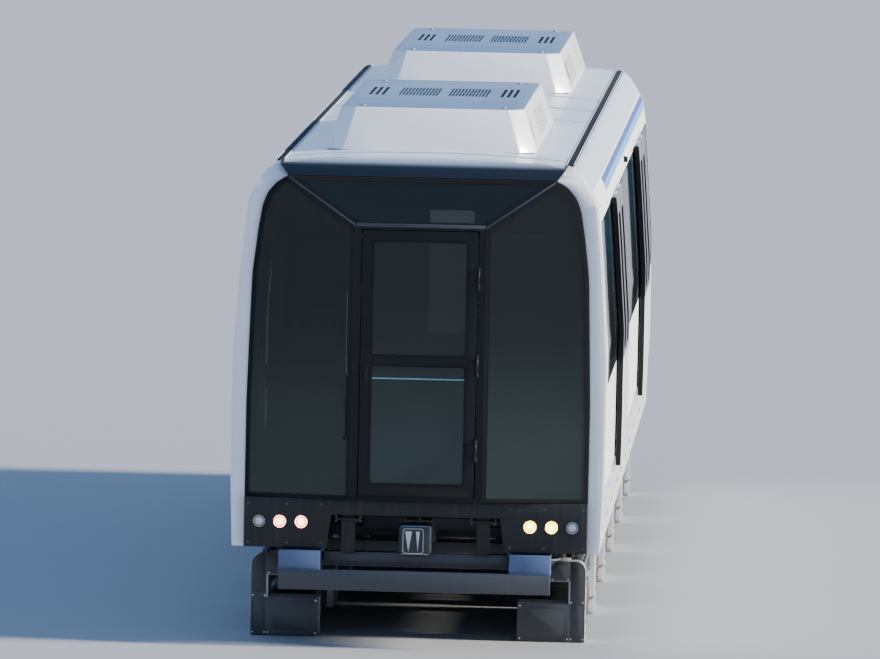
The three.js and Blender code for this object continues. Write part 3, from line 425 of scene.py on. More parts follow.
def carve(bm, tool, operation="DIFFERENCE"):
    # cuts the tool out of the piece, or keeps what both share
    holders = []
    for source in (bm, tool):
        bmesh.ops.recalc_face_normals(source, faces=source.faces)
        mesh = bpy.data.meshes.new("carving")
        source.to_mesh(mesh)
        holder = bpy.data.objects.new("carving", mesh)
        scene.collection.objects.link(holder)
        holders.append(holder)
    cut = holders[0].modifiers.new("cut", "BOOLEAN")
    cut.operation = operation
    cut.solver = "EXACT"
    cut.object = holders[1]
    bpy.context.view_layer.update()
    result = bpy.data.meshes.new_from_object(holders[0].evaluated_get(bpy.context.evaluated_depsgraph_get()))
    bm.clear()
    bm.from_mesh(result)
    tool.free()
    bpy.data.meshes.remove(result)
    for holder in holders:
        mesh = holder.data
        bpy.data.objects.remove(holder)
        bpy.data.meshes.remove(mesh)
    bmesh.ops.dissolve_degenerate(bm, dist=1e-6, edges=bm.edges)


def gathered(*parts):
    whole = bmesh.new()
    for part in parts:
        pour(whole, part)
    return whole


def paintWhere(bm, slot, test):
    for face in bm.faces:
        if test(face.calc_center_median(), face.normal):
            face.material_index = slot


def mirror(bm, axis):
    bmesh.ops.scale(bm, vec=[-1 if i == axis else 1 for i in range(3)], verts=bm.verts)
    bmesh.ops.reverse_faces(bm, faces=bm.faces)


def acrossTo(bm, side):
    # a piece built for the left side, turned to the right where side is -1
    if side < 0:
        mirror(bm, 1)


def finishPiece(name, bm, materials, replaces=(), body="car_body", crease=32):
    for face in bm.faces:
        face.smooth = True
    for edge in bm.edges:
        edge.smooth = len(edge.link_faces) == 2 and edge.calc_face_angle(0) < math.radians(crease)
    mesh = bpy.data.meshes.new(name)
    bm.to_mesh(mesh)
    bm.free()
    for material in materials:
        mesh.materials.append(material)
    piece = bpy.data.objects.new(name, mesh)
    scene.collection.objects.link(piece)
    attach(piece, body)
    if replaces:
        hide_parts(*replaces)
    return piece


# The body's cross section: half width and height, from the skirt's hem to the gutter, then over the roof
sideCurve = [(1.285, 0.685), (1.300, 1.100), (1.303, 1.330), (1.303, 2.050), (1.259, 2.660), (1.237, 2.920),
             (1.212, 3.130), (1.179, 3.190), (1.123, 3.287), (1.065, 3.353), (1.003, 3.370)]
roofCurve = [(0.760, 3.392), (0.400, 3.409), (0.0, 3.415)]
bodyLook = {"rear": -6.8397, "mask": 6.4, "front": 6.3997, "ring": 6.85, "nose": 6.975, "skirtLow": 0.685,
            "skirtHigh": 1.1, "cantrail": 3.19, "ceiling": 3.25, "floor": 1.18, "wall": 0.06, "seam": 0.0003}
sides = (("Left", 1), ("Right", -1))
throughSide = (1.1, 1.5)    # from inside the wall to outside the doors


def halfWidth(z):
    for (y0, z0), (y1, z1) in zip(sideCurve, sideCurve[1:]):
        if z <= z1:
            return y0 + (y1 - y0) * (z - z0) / (z1 - z0)
    return sideCurve[-1][0]


def mirrored(half):
    # both halves of an outline; a point on the middle line stays single
    return half + [(-y, z) for y, z in reversed(half) if y]


def skinPrism(outline, start, end, turned):
    return prism(outline, "x", start, end, soften=0.03, only=turned, steps=4)


def sideStrip(low, high, outer, inner):
    # a strip of the side between two depths under its outer face
    heights = [low, *[z for _, z in sideCurve if low + 0.001 < z < high - 0.001], high]
    outside = [(halfWidth(z) - outer, z) for z in heights]
    return outside + [(halfWidth(z) - inner, z) for z in reversed(heights)]


def stripPrism(low, high, outer, inner, start, end):
    outline = sideStrip(low, high, outer, inner)
    half = len(outline) // 2
    return skinPrism(outline, start, end, [*range(1, half - 1), *range(half + 1, 2 * half - 1)])


def bodyOutline(low):
    return mirrored([(halfWidth(low), low), *[p for p in sideCurve if p[1] > low + 0.001], *roofCurve])


def bodyPrism(low, start, end):
    outline = bodyOutline(low)
    return skinPrism(outline, start, end, range(1, len(outline) - 1))


# Side walls: one skin with its door and window openings, lined inside
doorPlan = {"centres": {"rear": -3.5, "front": 3.05}, "leaf": 0.8, "clear": 0.7, "head": 2.95, "low": 1.055,
            "high": 3.0, "gap": 0.012, "thick": 0.038, "seam": 0.008, "edge": 0.0125, "window": 0.21,
            "windowLow": 1.88, "windowHigh": 2.87, "offset": 0.38, "corner": 0.05, "sleeve": 0.007,
            "railReach": 1.51, "rail": (3.0015, 3.0135), "railProud": 0.016, "guide": (1.108, 1.124),
            "sill": (1.1805, 1.188)}
# each span: rear end, front end, radius of the upper front corner, panes
windowPlan = {"spans": {"rear": (-6.8, -4.4, 0.04, 2), "middle": (-2.75, 2.25, 0.04, 3),
                        "front": (3.9, 6.2, 0.16, 1)},
              "low": 1.82, "high": 2.96, "corner": 0.04, "gasket": 0.009, "joint": 0.012, "thick": 0.024}
wallLamp = {"x": -0.3, "z": 3.035, "radius": 0.026, "tip": 0.02, "proud": 0.03}


def windowPrism(x0, x1, frontCorner, inset):
    outline = rectangle(x0 + inset, x1 - inset, windowPlan["low"] + inset, windowPlan["high"] - inset)
    rounds = [(max(radius - inset, 0.004), corners)
              for radius, corners in ((frontCorner, [2]), (windowPlan["corner"], [0, 1, 3]))]
    return prism(outline, "y", *throughSide, rounds=rounds, steps=6)


def makeSideWall(side, name):
    rear, front, low, high, wall = (bodyLook[key] for key in ("rear", "front", "skirtHigh", "cantrail",
                                                              "wall"))
    centres, clear, reach = (doorPlan[key] for key in ("centres", "clear", "railReach"))
    skin = stripPrism(low, high, 0, wall, rear, front)
    holes = [windowPrism(*span[:3], 0) for span in windowPlan["spans"].values()]
    for centre in centres.values():
        opening = rectangle(centre - clear, centre + clear, bodyLook["floor"], doorPlan["head"])
        holes.append(prism(opening, "y", *throughSide))
    carve(skin, gathered(*holes))
    paintWhere(skin, 1, lambda c, n: abs(c.y) < halfWidth(c.z) - 0.6 * wall)
    paintWhere(skin, 2, lambda c, n: abs(n.y) < 0.3 and low + 0.01 < c.z < high - 0.01
               and rear + 0.01 < c.x < front - 0.01)
    guideY = halfWidth(doorPlan["low"] + 0.03)
    for centre in centres.values():
        # head rail, floor guide and aluminium sill
        addPrism(skin, sideStrip(*doorPlan["rail"], -doorPlan["railProud"], 0.002), "x", centre - reach,
                 centre + reach, 0, bevel=0.002)
        for half, (y0, y1), (z0, z1) in ((reach, (guideY - 0.002, guideY + 0.008), doorPlan["guide"]),
                                         (clear, (1.243, 1.29), doorPlan["sill"])):
            addBox(skin, (centre - half, y0, z0), (centre + half, y1, z1), 3, 0.002)
    # small black lamp between the stripe and the windows
    x, z, y = wallLamp["x"], wallLamp["z"], halfWidth(wallLamp["z"])
    addRod(skin, (x, y - 0.004, z), (x, y + wallLamp["proud"], z), wallLamp["radius"], 20, 2, wallLamp["tip"],
           0.004)
    acrossTo(skin, side)
    finishPiece("sideWall" + name, skin, [wallPaint, lining, rubber, castAlloy],
                ["side_wall_" + name.lower()])


def makePanes(side, name):
    low, high, gasketWidth = (windowPlan[key] for key in ("low", "high", "gasket"))
    half = windowPlan["joint"] / 2
    for part, (x0, x1, corner, count) in windowPlan["spans"].items():
        pane, gasket = (stripPrism(low - 0.01, high + 0.01, *depths, x0 - 0.05, x1 + 0.05)
                        for depths in ((0.002, 0.002 + windowPlan["thick"]), (-0.001, 0.03)))
        carve(pane, windowPrism(x0, x1, corner, gasketWidth), "INTERSECT")
        carve(gasket, windowPrism(x0, x1, corner, 0.0005), "INTERSECT")
        carve(gasket, windowPrism(x0, x1, corner, gasketWidth))
        pour(pane, gasket, 1)
        for k in range(1, count):
            x = x0 + (x1 - x0) * k / count
            pour(pane, stripPrism(low + 0.008, high - 0.008, 0.0005, 0.027, x - half, x + half), 1)
        acrossTo(pane, side)
        finishPiece("window" + part.capitalize() + name, pane, [sideGlass, rubber],
                    ["window_" + part + "_" + name.lower()])


# Skirts: hinged covers with joints, a hem lip and quarter-turn latches
skirtPlan = {"thick": 0.028, "joints": (-5.6, -4.3, -2.7, -1.35, 0.0, 1.3, 2.25, 3.85, 5.1), "groove": 0.006,
             "depth": 0.006, "hem": 0.765, "latch": 0.014, "latchRows": (0.82, 1.03), "latchInset": 0.09}


def makeSkirt(side, name):
    rear, front, top = bodyLook["rear"], bodyLook["front"], bodyLook["skirtHigh"]
    joints, groove, hem, inset = (skirtPlan[key] for key in ("joints", "groove", "hem", "latchInset"))
    skin = stripPrism(bodyLook["skirtLow"], top - bodyLook["seam"], 0, skirtPlan["thick"], rear, front)
    grooves = [stripPrism(0.6, top + 0.02, -0.05, skirtPlan["depth"], x - groove / 2, x + groove / 2)
               for x in joints]
    carve(skin, gathered(*grooves))
    for x0, x1 in zip((rear, *joints), (*joints, front)):
        latches = [(x, halfWidth(z) - 0.004, z)
                   for x in (x0 + inset, x1 - inset) for z in skirtPlan["latchRows"]]
        addBolts(skin, latches, "y", skirtPlan["latch"], 0.006, 1, 14)
        y = halfWidth(hem)
        addBox(skin, (x0 + 0.004, y - 0.004, hem - 0.004), (x1 - 0.004, y + 0.003, hem + 0.004), 0, 0.0015)
    acrossTo(skin, side)
    finishPiece("skirt" + name, skin, [glossWhite, underPaint], ["skirt_" + name.lower()])


# Sliding door leaves: plug panels outside the wall, with a narrow window and rubber at both edges
def leafWindow(middle, inset):
    half, low, high = (doorPlan[key] for key in ("window", "windowLow", "windowHigh"))
    outline = rectangle(middle - half + inset, middle + half - inset, low + inset, high - inset)
    return prism(outline, "y", *throughSide, soften=doorPlan["corner"] - inset, steps=6)


def makeLeaf(doorName, centre, end, side, name, leafName):
    low, high, gap, edge = (doorPlan[key] for key in ("low", "high", "gap", "edge"))
    x0, x1 = sorted((centre + end * doorPlan["seam"] / 2, centre + end * doorPlan["leaf"]))
    out = -gap - doorPlan["thick"]
    leaf = stripPrism(low, high, out, -gap, x0 + 0.012, x1 - 0.012)
    roundEdges(leaf, 0.004, angle=50)
    middle = centre + end * doorPlan["offset"]
    carve(leaf, leafWindow(middle, 0))
    # rubber at the closing edge and black end face at the outer edge
    for a, b in ((x0, x0 + edge), (x1 - edge, x1)):
        pour(leaf, stripPrism(low + 0.003, high - 0.003, out - 0.0005, -gap - 0.001, a, b), 1)
    # pane sunk to the back of the leaf, in a black sleeve: its rubber also stands for the shadow of the sunk
    # frame, painted shade
    for slot, outside, inside, inset in ((2, 0.026, 0.034, 0.003), (1, -0.0006, 0.037, 0.0)):
        sheet = stripPrism(doorPlan["windowLow"] - 0.02, doorPlan["windowHigh"] + 0.02, out + outside,
                           out + inside, x0, x1)
        carve(sheet, leafWindow(middle, inset), "INTERSECT")
        if slot == 1:
            carve(sheet, leafWindow(middle, doorPlan["sleeve"]))
        pour(leaf, sheet, slot)
    acrossTo(leaf, side)
    place = "_".join((doorName, name.lower(), leafName))
    finishPiece("door" + doorName.capitalize() + name + leafName.upper(), leaf,
                [doorPaint, rubber, sideGlass], ["door_" + place], "leaf_" + place)


for name, side in sides:
    makeSideWall(side, name)
    makePanes(side, name)
    makeSkirt(side, name)
    for doorName, centre in doorPlan["centres"].items():
        for leafName, end in (("a", -1), ("b", 1)):
            makeLeaf(doorName, centre, end, side, name, leafName)
print("sides made")

# Roof: one curved skin with cross welts, gutters and a cable cover
roofPlan = {"welts": (-6.78, -2.2, -0.6, 1.0, 6.0), "welt": 0.03, "weltLow": 3.34, "weltShare": 0.985,
            "rise": 0.006, "gutterY": 1.015, "gutterZ": 3.371, "gutter": 0.027, "gutterDeep": 0.02,
            "lip": 0.004, "cover": ((-2.5, -0.11, 3.38), (1.4, 0.11, 3.432)),
            "screws": (-2.1, -1.3, -0.5, 0.3, 1.1)}


def makeRoof():
    rear, front, ceiling = bodyLook["rear"], bodyLook["front"], bodyLook["ceiling"]
    low = bodyLook["cantrail"] + bodyLook["seam"]
    inner = halfWidth(low) - bodyLook["wall"]
    outline = bodyOutline(low)
    inside = [(-inner, low), (-inner + 0.06, ceiling), (inner - 0.06, ceiling), (inner, low)]
    roof = skinPrism(outline + inside, rear, front, range(1, len(outline) - 1))
    paintWhere(roof, 1, lambda c, n: n.z < -0.5)
    ribOutline = [(y * roofPlan["weltShare"], z) for y, z in bodyOutline(roofPlan["weltLow"])]
    half = roofPlan["welt"] / 2
    for x in roofPlan["welts"]:
        rib = prism(ribOutline, "x", x - half, x + half, soften=0.02, only=range(1, len(ribOutline) - 1))
        pour(roof, rib, 0, Matrix.Translation((0, 0, roofPlan["rise"])))
    half, lip, z = roofPlan["gutter"], roofPlan["lip"], roofPlan["gutterZ"]
    for y in (-roofPlan["gutterY"], roofPlan["gutterY"]):
        # black channel between two painted lips, made wide to stand for the gutter's shadow: painted shade
        for y0, y1, top, slot, bevel in ((-half, half, 0.004, 2, 0.002), (-half, lip - half, 0.009, 0, 0.001),
                                         (half - lip, half, 0.009, 0, 0.001)):
            addBox(roof, (rear, y + y0, z - roofPlan["gutterDeep"]), (front, y + y1, z + top), slot, bevel)
    addBox(roof, *roofPlan["cover"], 0, 0.012)
    addBolts(roof, [(x, y, 3.43) for x in roofPlan["screws"] for y in (-0.09, 0.09)], "z", 0.008, 0.006, 3)
    finishPiece("roofSkin", roof, [roofPaint, lining, rubber, castAlloy], ["roof"])


makeRoof()

# Roof units: sloping cases that follow the roof, with two fin banks and slots in the top, and a louvred panel
# on each side. Each span: rear end, front end, rear end of its louvres
airPlan = {"spans": {"Rear": (-6.7, -2.6, -4.6), "Front": (1.5, 5.6, 2.6)}, "low": 3.4, "high": 3.7,
           "half": 0.75, "topHalf": 0.648, "cut": 0.12, "lean": 0.13, "edge": 0.01, "footInset": 0.06,
           "foot": 0.65, "footLow": 3.38, "screws": 12, "screwEnd": 0.3, "screwY": 0.6, "eyeEnd": 0.35,
           "eyeY": 0.5}
ventPlan = {"behind": 1.81, "length": 1.04, "depth": 0.01, "banks": ((-0.325, -0.035), (0.035, 0.325)),
            "blades": 12, "slots": (0.42, 0.465, 0.51), "slotWidth": 0.022}
louvrePlan = {"length": 1.5, "low": 0.06, "high": 0.24, "blades": 9, "depth": 0.008}


def makeAirUnit(name, x0, x1, louvreX):
    half, topHalf, cut, low, high = (airPlan[key] for key in ("half", "topHalf", "cut", "low", "high"))
    front = [(x1 - cut, -half), (x1, cut - half), (x1, half - cut), (x1 - cut, half)]
    unit = prism(front + [(x0 + x1 - x, y) for x, y in reversed(front)], "z", low, high)
    length = x1 - x0
    bmesh.ops.scale(unit, vec=(1 - 2 * airPlan["lean"] / length, topHalf / half, 1),
                    verts=[v for v in unit.verts if v.co.z > low + 0.1],
                    space=Matrix.Translation((-(x0 + x1) / 2, 0, 0)))
    roundEdges(unit, airPlan["edge"], angle=20, steps=3)
    # pockets of the vents and louvres, and the roof's own curve under the case
    deck, width = high - ventPlan["depth"], ventPlan["slotWidth"]
    stop = x1 - ventPlan["behind"]
    start = stop - ventPlan["length"]
    pockets = bmesh.new()
    endSlots = [(side * y, side * (y + width)) for y in ventPlan["slots"] for side in (-1, 1)]
    for y0, y1 in (*ventPlan["banks"], *endSlots):
        addBox(pockets, (start, y0, deck), (stop, y1, high + 0.05))
    slope = math.atan2(half - topHalf, high - low)
    slopes = [(side, Matrix.Translation((0, side * half, low)) @ Matrix.Rotation(side * slope, 4, "X"))
              for side in (-1, 1)]
    louvreLow, louvreHigh, depth = (louvrePlan[key] for key in ("low", "high", "depth"))
    louvreStop = louvreX + louvrePlan["length"]
    for _, leaning in slopes:
        addBox(pockets, (louvreX, -depth, louvreLow), (louvreStop, depth, louvreHigh), matrix=leaning)
    pour(pockets, bodyPrism(3.0, x0 - 0.1, x1 + 0.1))
    carve(unit, pockets)
    # the up-facing top takes the lid's blue: painted reflection of the sky
    paintWhere(unit, 1, lambda c, n: n.z > 0.9 and c.z > high - 0.001)
    # the walls of the vent pockets in black rubber: painted shade in the slots
    paintWhere(unit, 2, lambda c, n: deck - 0.002 < c.z < high - 0.001 and start - 0.01 < c.x < stop + 0.01
               and abs(c.y) < 0.55)
    for y0, y1 in ventPlan["banks"]:
        for k in range(ventPlan["blades"] + 1):
            y = y0 + (y1 - y0) * k / ventPlan["blades"]
            addBox(unit, (start, y - 0.003, deck - 0.001), (stop, y + 0.003, high - 0.001), 1)
        for x in (start, (start + stop) / 2, stop):
            addBox(unit, (x - 0.006, y0, deck - 0.001), (x + 0.006, y1, high - 0.0005), 1)
    # lid screws and lifting eyes
    inset, pitch = airPlan["screwEnd"], (length - 2 * airPlan["screwEnd"]) / (airPlan["screws"] - 1)
    screws = [(x0 + inset + k * pitch, side * airPlan["screwY"])
              for k in range(airPlan["screws"]) for side in (-1, 1)]
    eyes = [(x, side * airPlan["eyeY"])
            for x in (x0 + airPlan["eyeEnd"], x1 - airPlan["eyeEnd"]) for side in (-1, 1)]
    addBolts(unit, [(x, y, high - 0.002) for x, y in screws], "z", 0.006, 0.003, 3)
    addBolts(unit, [(x, y, high - 0.002) for x, y in eyes], "z", 0.018, 0.008, 1, 12, 0.002)
    # dark joint to the roof, slats of the side panels, the dark slot ahead of them, and two faint folds; the
    # black backing behind the slats, the slot and the folds are painted shade
    foot, inset = airPlan["foot"], airPlan["footInset"]
    blade = (louvreHigh - louvreLow) / louvrePlan["blades"]
    for side, leaning in slopes:
        addBox(unit, (x0 + inset, side * foot - 0.01, airPlan["footLow"]),
               (x1 - inset, side * foot + 0.01, low + 0.005), 2)
        addBox(unit, (louvreX, -side * 0.0078, louvreLow), (louvreStop, -side * 0.0085, louvreHigh), 2,
               matrix=leaning)
        for k in range(louvrePlan["blades"]):
            z = louvreLow + k * blade
            addBox(unit, (louvreX, -side * depth, z + 0.25 * blade), (louvreStop, -side * 0.001, z + blade),
                   0, matrix=leaning)
        addBox(unit, (x1 - 0.42, -0.003, 0.1), (x1 - 0.385, 0.003, 0.22), 2, 0.001, matrix=leaning)
        for x in (x0 + 1.0, x1 - 0.6):
            addBox(unit, (x - 0.0015, -0.003, 0.02), (x + 0.0015, 0.0008, 0.27), 2, matrix=leaning)
    finishPiece("airUnit" + name, unit, [glossWhite, lidPaintedSky, rubber, castAlloy],
                ["air_unit_" + name.lower()], crease=25)


for name, span in airPlan["spans"].items():
    makeAirUnit(name, *span)
print("roof made")

# Mask: white ring, slate hood, dark panel
faceCurve = [(1.2, 0.64), (1.2, 1.7), (1.19, 2.1), (1.175, 2.6), (1.14, 2.9), (1.11, 3.08), (1.075, 3.17),
             (1.015, 3.24), (0.94, 3.285)]
maskPlan = {"corner": 0.3, "rim": 0.085, "crown": 3.417, "panelX": 6.9, "panelThick": 0.11, "panelTop": 1.035,
            "half": 1.1997, "recess": 0.59, "recessTop": 0.92, "joint": 0.43, "ledgeRear": 6.7603,
            "ledge": 1.1, "lampZ": 0.865, "lampRadius": 0.042, "lamps": (0.8, 0.95, 1.095), "glassTop": 3.284,
            "screwY": (0.66, 0.9, 1.17), "screwZ": (0.72, 0.99)}
hoodPlan = {"rear": 6.44, "front": 6.875, "corner": 0.23, "lowHalf": 0.94, "topHalf": 1.005, "low": 3.29,
            "shoulder": 3.372, "jointY": 0.992, "jointZ": 3.374}
bracketPlan = {"y": 0.473, "half": 0.05, "x": (6.8, 6.818), "low": 0.65, "high": 0.93, "pinZ": 0.79,
               "earX": (6.79, 6.848), "earHalf": 0.092, "ear": (0.88, 0.896), "lugY": (-0.084, 0.084),
               "lug": (0.868, 0.915)}


def facePrism(inset, low, start, end):
    # the opening of the ring, smaller by the inset
    outline = mirrored([(faceCurve[0][0] - inset, low), *[(y - inset, z - inset) for y, z in faceCurve[1:]]])
    return skinPrism(outline, start, end, range(1, len(outline) - 1))


def cornerPrism(start, low, front, radius):
    outline = [(start, low), (front, low), (front, maskPlan["crown"]), (start, maskPlan["crown"])]
    return prism(outline, "y", -1.4, 1.4, soften=radius, only=[2], steps=16)


def hoodPrism(low, grow):
    # the hood's ends slant in from the gutters to the upper corners of the face
    shoulder = hoodPlan["topHalf"] + grow
    half = [(hoodPlan["lowHalf"] + grow, low), (shoulder, hoodPlan["shoulder"]), (shoulder, 3.5)]
    return prism(mirrored(half), "x", hoodPlan["rear"] - grow, 7.2)


def makeRing():
    mask, front, seam = (bodyLook[key] for key in ("mask", "ring", "seam"))
    ring = bodyPrism(bodyLook["skirtLow"], mask, front)
    carve(ring, cornerPrism(mask - 0.1, 0.6, front, maskPlan["corner"]), "INTERSECT")
    rim = [e for e in ring.edges
           if all(v.co.x > front - 0.001 and abs(v.co.y) > halfWidth(v.co.z) - 0.003 for v in e.verts)]
    bmesh.ops.bevel(ring, geom=rim, offset=maskPlan["rim"], affect="EDGES", segments=6, profile=0.5,
                    material=-1, clamp_overlap=True)
    carve(ring, facePrism(0, 0.6, mask - 0.01, front + 0.1))
    carve(ring, hoodPrism(maskPlan["glassTop"], seam))
    roundEdges(ring, 0.005, angle=55)
    finishPiece("frontRing", ring, [glossWhite], ["front_ring"])


def makeHood():
    rear, front, z = hoodPlan["rear"], hoodPlan["front"], hoodPlan["jointZ"]
    hood = bodyPrism(bodyLook["skirtLow"], rear, front + 0.01)
    carve(hood, cornerPrism(rear - 0.1, 0.6, front, hoodPlan["corner"]), "INTERSECT")
    carve(hood, hoodPrism(hoodPlan["low"], 0), "INTERSECT")
    roundEdges(hood, 0.006, angle=50)
    # rubber joint along the gutters
    for y in (-hoodPlan["jointY"], hoodPlan["jointY"]):
        addRod(hood, (rear + 0.02, y, z), (front - 0.13, y, z), 0.006, 10, 1)
    finishPiece("roofHood", hood, [slatePaint, rubber], ["roof_hood"])


def addBrackets(panel, side):
    # lifting bracket in the recess, with a pin hole and an ear plate on top
    plan = bracketPlan
    y, half, ear = side * plan["y"], plan["half"], plan["earHalf"]
    (x0, x1), (earX0, earX1) = plan["x"], plan["earX"]
    addBox(panel, (x0, y - half, plan["low"]), (x1, y + half, plan["high"]), 0, 0.006)
    addTurned(panel, [(0.012, 0.0), (0.024, 0.0), (0.024, 0.004), (0.012, 0.004), (0.012, 0.0)],
              (x1, y, plan["pinZ"]), "x", 20, 0)
    addBox(panel, (earX0, y - ear, plan["ear"][0]), (earX1, y + ear, plan["ear"][1]), 0, 0.004)
    for lug in plan["lugY"]:
        addBox(panel, (x0, y + lug - 0.007, plan["lug"][0]), (earX1, y + lug + 0.007, plan["lug"][1]), 3,
               0.003)


def makeFrontPanel():
    half, recess, low, top = maskPlan["half"], maskPlan["recess"], bodyLook["skirtLow"], maskPlan["panelTop"]
    x, z, ledge, joint = (maskPlan[key] for key in ("panelX", "lampZ", "ledge", "joint"))
    outline = mirrored([(recess, maskPlan["recessTop"]), (recess + 0.03, low), (half, low), (half, top)])
    panel = prism(outline, "x", x - maskPlan["panelThick"], x, bevel=0.006)
    barrels = [side * y for y in maskPlan["lamps"] for side in (-1, 1)]
    holes = bmesh.new()
    for y in barrels:
        addRod(holes, (x - 0.2, y, z), (x + 0.05, y, z), maskPlan["lampRadius"] + 0.007, 32)
    for y in (-joint, joint):
        # joints between the panel's cheeks and its middle
        addBox(holes, (x - 0.006, y - 0.003, 0.9), (x + 0.02, y + 0.003, 1.1))
    carve(panel, holes)
    addBox(panel, (maskPlan["ledgeRear"], -ledge, top - 0.06), (x - 0.02, ledge, top - 0.001), 0, 0.004)
    for y in barrels:
        addTurned(panel, [(0.0492, -0.02), (0.0492, 0.002), (0.046, 0.004), (0.0435, 0.001), (0.0425, -0.02)],
                  (x, y, z), "x", 32, 1)
    screws = [(x - 0.003, side * y, height)
              for side in (-1, 1) for y in maskPlan["screwY"] for height in maskPlan["screwZ"]]
    addBolts(panel, screws, "x", 0.008, 0.004, 3, 12)
    for side in (-1, 1):
        addBrackets(panel, side)
    # black strip behind the top of the recess: painted shade
    addBox(panel, (6.775, -0.58, 0.9), (6.795, 0.58, 1.0), 1, 0.003)
    finishPiece("frontPanel", panel, [maskPaint, rubber, machinedSteel, underPaint],
                ["front_panel"])


makeRing()
makeHood()
makeFrontPanel()

# Headlamps: bowl, lamp and lens in each barrel; the two inner ones of a side are lit
lampPlan = {"bowlDepth": 0.05, "glowRadius": 0.032, "lensBulge": 0.006, "boxY": (0.74, 1.155),
            "boxHalf": 0.055}


def makeLamps(side, name, lit):
    lamps = bmesh.new()
    depth, glowing, bulge = (lampPlan[key] for key in ("bowlDepth", "glowRadius", "lensBulge"))
    z, radius = maskPlan["lampZ"], maskPlan["lampRadius"]
    back = maskPlan["panelX"] - maskPlan["panelThick"] - bodyLook["seam"]
    mouth = maskPlan["panelX"] - 0.004
    (y0, y1), half = lampPlan["boxY"], lampPlan["boxHalf"]
    addBox(lamps, (back - 0.04, y0, z - half), (back, y1, z + half), 0, 0.006)
    bowl = [(0.004, -depth), (0.016, -0.047), (0.027, -0.038), (0.035, -0.024), (radius - 0.002, -0.004),
            (radius, -0.004), (radius, -depth - 0.001), (0.004, -depth - 0.001)]
    disc = [(0.0, -0.012), (glowing * 0.7, -0.013), (glowing, -0.018), (glowing * 0.8, -0.03), (0.0, -0.04)]
    lens = [(0.0, bulge), (radius * 0.6, bulge * 0.7), (radius - 0.001, 0.0), (radius - 0.001, -0.003),
            (0.0, -0.001)]
    for k, y in enumerate(maskPlan["lamps"]):
        addRod(lamps, (back - 0.01, y, z), (mouth - depth - 0.002, y, z), radius, 28, 0)
        shine = 3 if k < 2 else 1
        for profile, steps, slot in ((bowl, 28, shine), (disc, 24, shine), (lens, 28, 2)):
            addTurned(lamps, profile, (mouth, y, z), "x", steps, slot)
    acrossTo(lamps, side)
    finishPiece("headlamps" + name, lamps, [framePaint, reflector, lampLens, lit],
                ["headlamps_" + name.lower()])


makeLamps(1, "Left", warmLamp)
makeLamps(-1, "Right", rosyLamp)

# Windscreen seals: a black border with a lit ridge on each fold, round the posts and along the ring
screenPlan = {"nose": 6.975, "edge": 6.855, "post": 0.45, "fold": 2.95, "low": 1.05,
              "high": maskPlan["glassTop"], "border": 0.042, "ridge": 0.012, "foldRun": (0.49, 0.334),
              "foldEnd": 0.93}
lean = (screenPlan["nose"] - screenPlan["edge"]) / (faceCurve[0][0] - screenPlan["post"])


def faceHull(shift):
    # the whole glazed nose, moved in by the shift
    front, post, fold = screenPlan["nose"] - shift, screenPlan["post"], screenPlan["fold"]
    edge, shoulder = (front - lean * (y - post) for y in (1.3, 1.0))
    hull = bmesh.new()
    for side in (-1, 1):
        for x, y, z in ((front, post, fold), (front, post, 0.6), (edge, 1.3, 0.6), (edge, 1.3, 3.16),
                        (shoulder, 1.0, 3.331), (6.2, 1.3, 0.6), (6.2, 1.3, 3.331)):
            hull.verts.new((x, side * y, z))
    bmesh.ops.convex_hull(hull, input=hull.verts)
    bmesh.ops.recalc_face_normals(hull, faces=hull.faces)
    return hull


def faceShell(proud, depth, inset, low, high):
    # a skin on the panes, cut to the ring's opening and to the glass's height
    shell = faceHull(-proud)
    carve(shell, faceHull(depth))
    carve(shell, facePrism(inset, low, 6.3, 7.1), "INTERSECT")
    carve(shell, prism(rectangle(-1.4, 1.4, 0.9, high), "x", 6.2, 7.2), "INTERSECT")
    return shell


def foldPoint(aside, ahead):
    # a point of the face seen from the front, from the fold's lower end: aside of the fold, and along it
    run = Vector(screenPlan["foldRun"]).normalized()
    return (screenPlan["post"] + ahead * run.x - aside * run.y,
            screenPlan["fold"] + ahead * run.y + aside * run.x)


def makeSeals():
    front, post, fold, border, ridge, reach = (screenPlan[key] for key in ("nose", "post", "fold", "border",
                                                                           "ridge", "foldEnd"))
    low, high = screenPlan["low"], screenPlan["high"]
    run, rise = screenPlan["foldRun"]
    seals = faceShell(0.004, 0.03, -0.0005, low - 0.012, high + 0.001)
    carve(seals, facePrism(0.028, low + 0.014, 6.2, 7.2))
    # printed border, 2 mm proud: half the head rail, a post and a fold in one outline
    outer, inner = foldPoint(-border, (border - border * 0.563) / 0.826), foldPoint(border, 0.0)
    half = [(0.0, fold - 0.016), (post - 0.014, fold - 0.016), (post - 0.014, low - 0.01),
            (post + border, low - 0.01), (post + border, outer[1]), foldPoint(-border, 0.64),
            foldPoint(border, 0.64), inner, (0.0, inner[1])]
    for side in (-1, 1):
        skin = faceShell(0.002, 0.02, 0.0, low - 0.01, high)
        carve(skin, prism([(side * y, z) for y, z in half], "x", 6.2, 7.2), "INTERSECT")
        pour(seals, skin, 1)
        end = (front - lean * (reach - post), side * reach, fold + rise / run * (reach - post))
        addBeam(seals, (front, side * post, fold), end, ridge, ridge, 2, 0.003)
        y = side * (post + 0.008)
        addBox(seals, (front - 0.004, y - 0.006, low), (front + 0.005, y + 0.006, fold), 1, 0.002)
    addBox(seals, (front - 0.004, -post, fold - 0.004), (front + 0.006, post, fold + 0.022), 2, 0.003)
    # dark stop behind the head of the door
    addBox(seals, (front - 0.075, -post, fold - 0.05), (front - 0.052, post, fold - 0.004), 0, 0.003)
    finishPiece("screenSeals", seals, [rubber, framePaint, trimPaint])


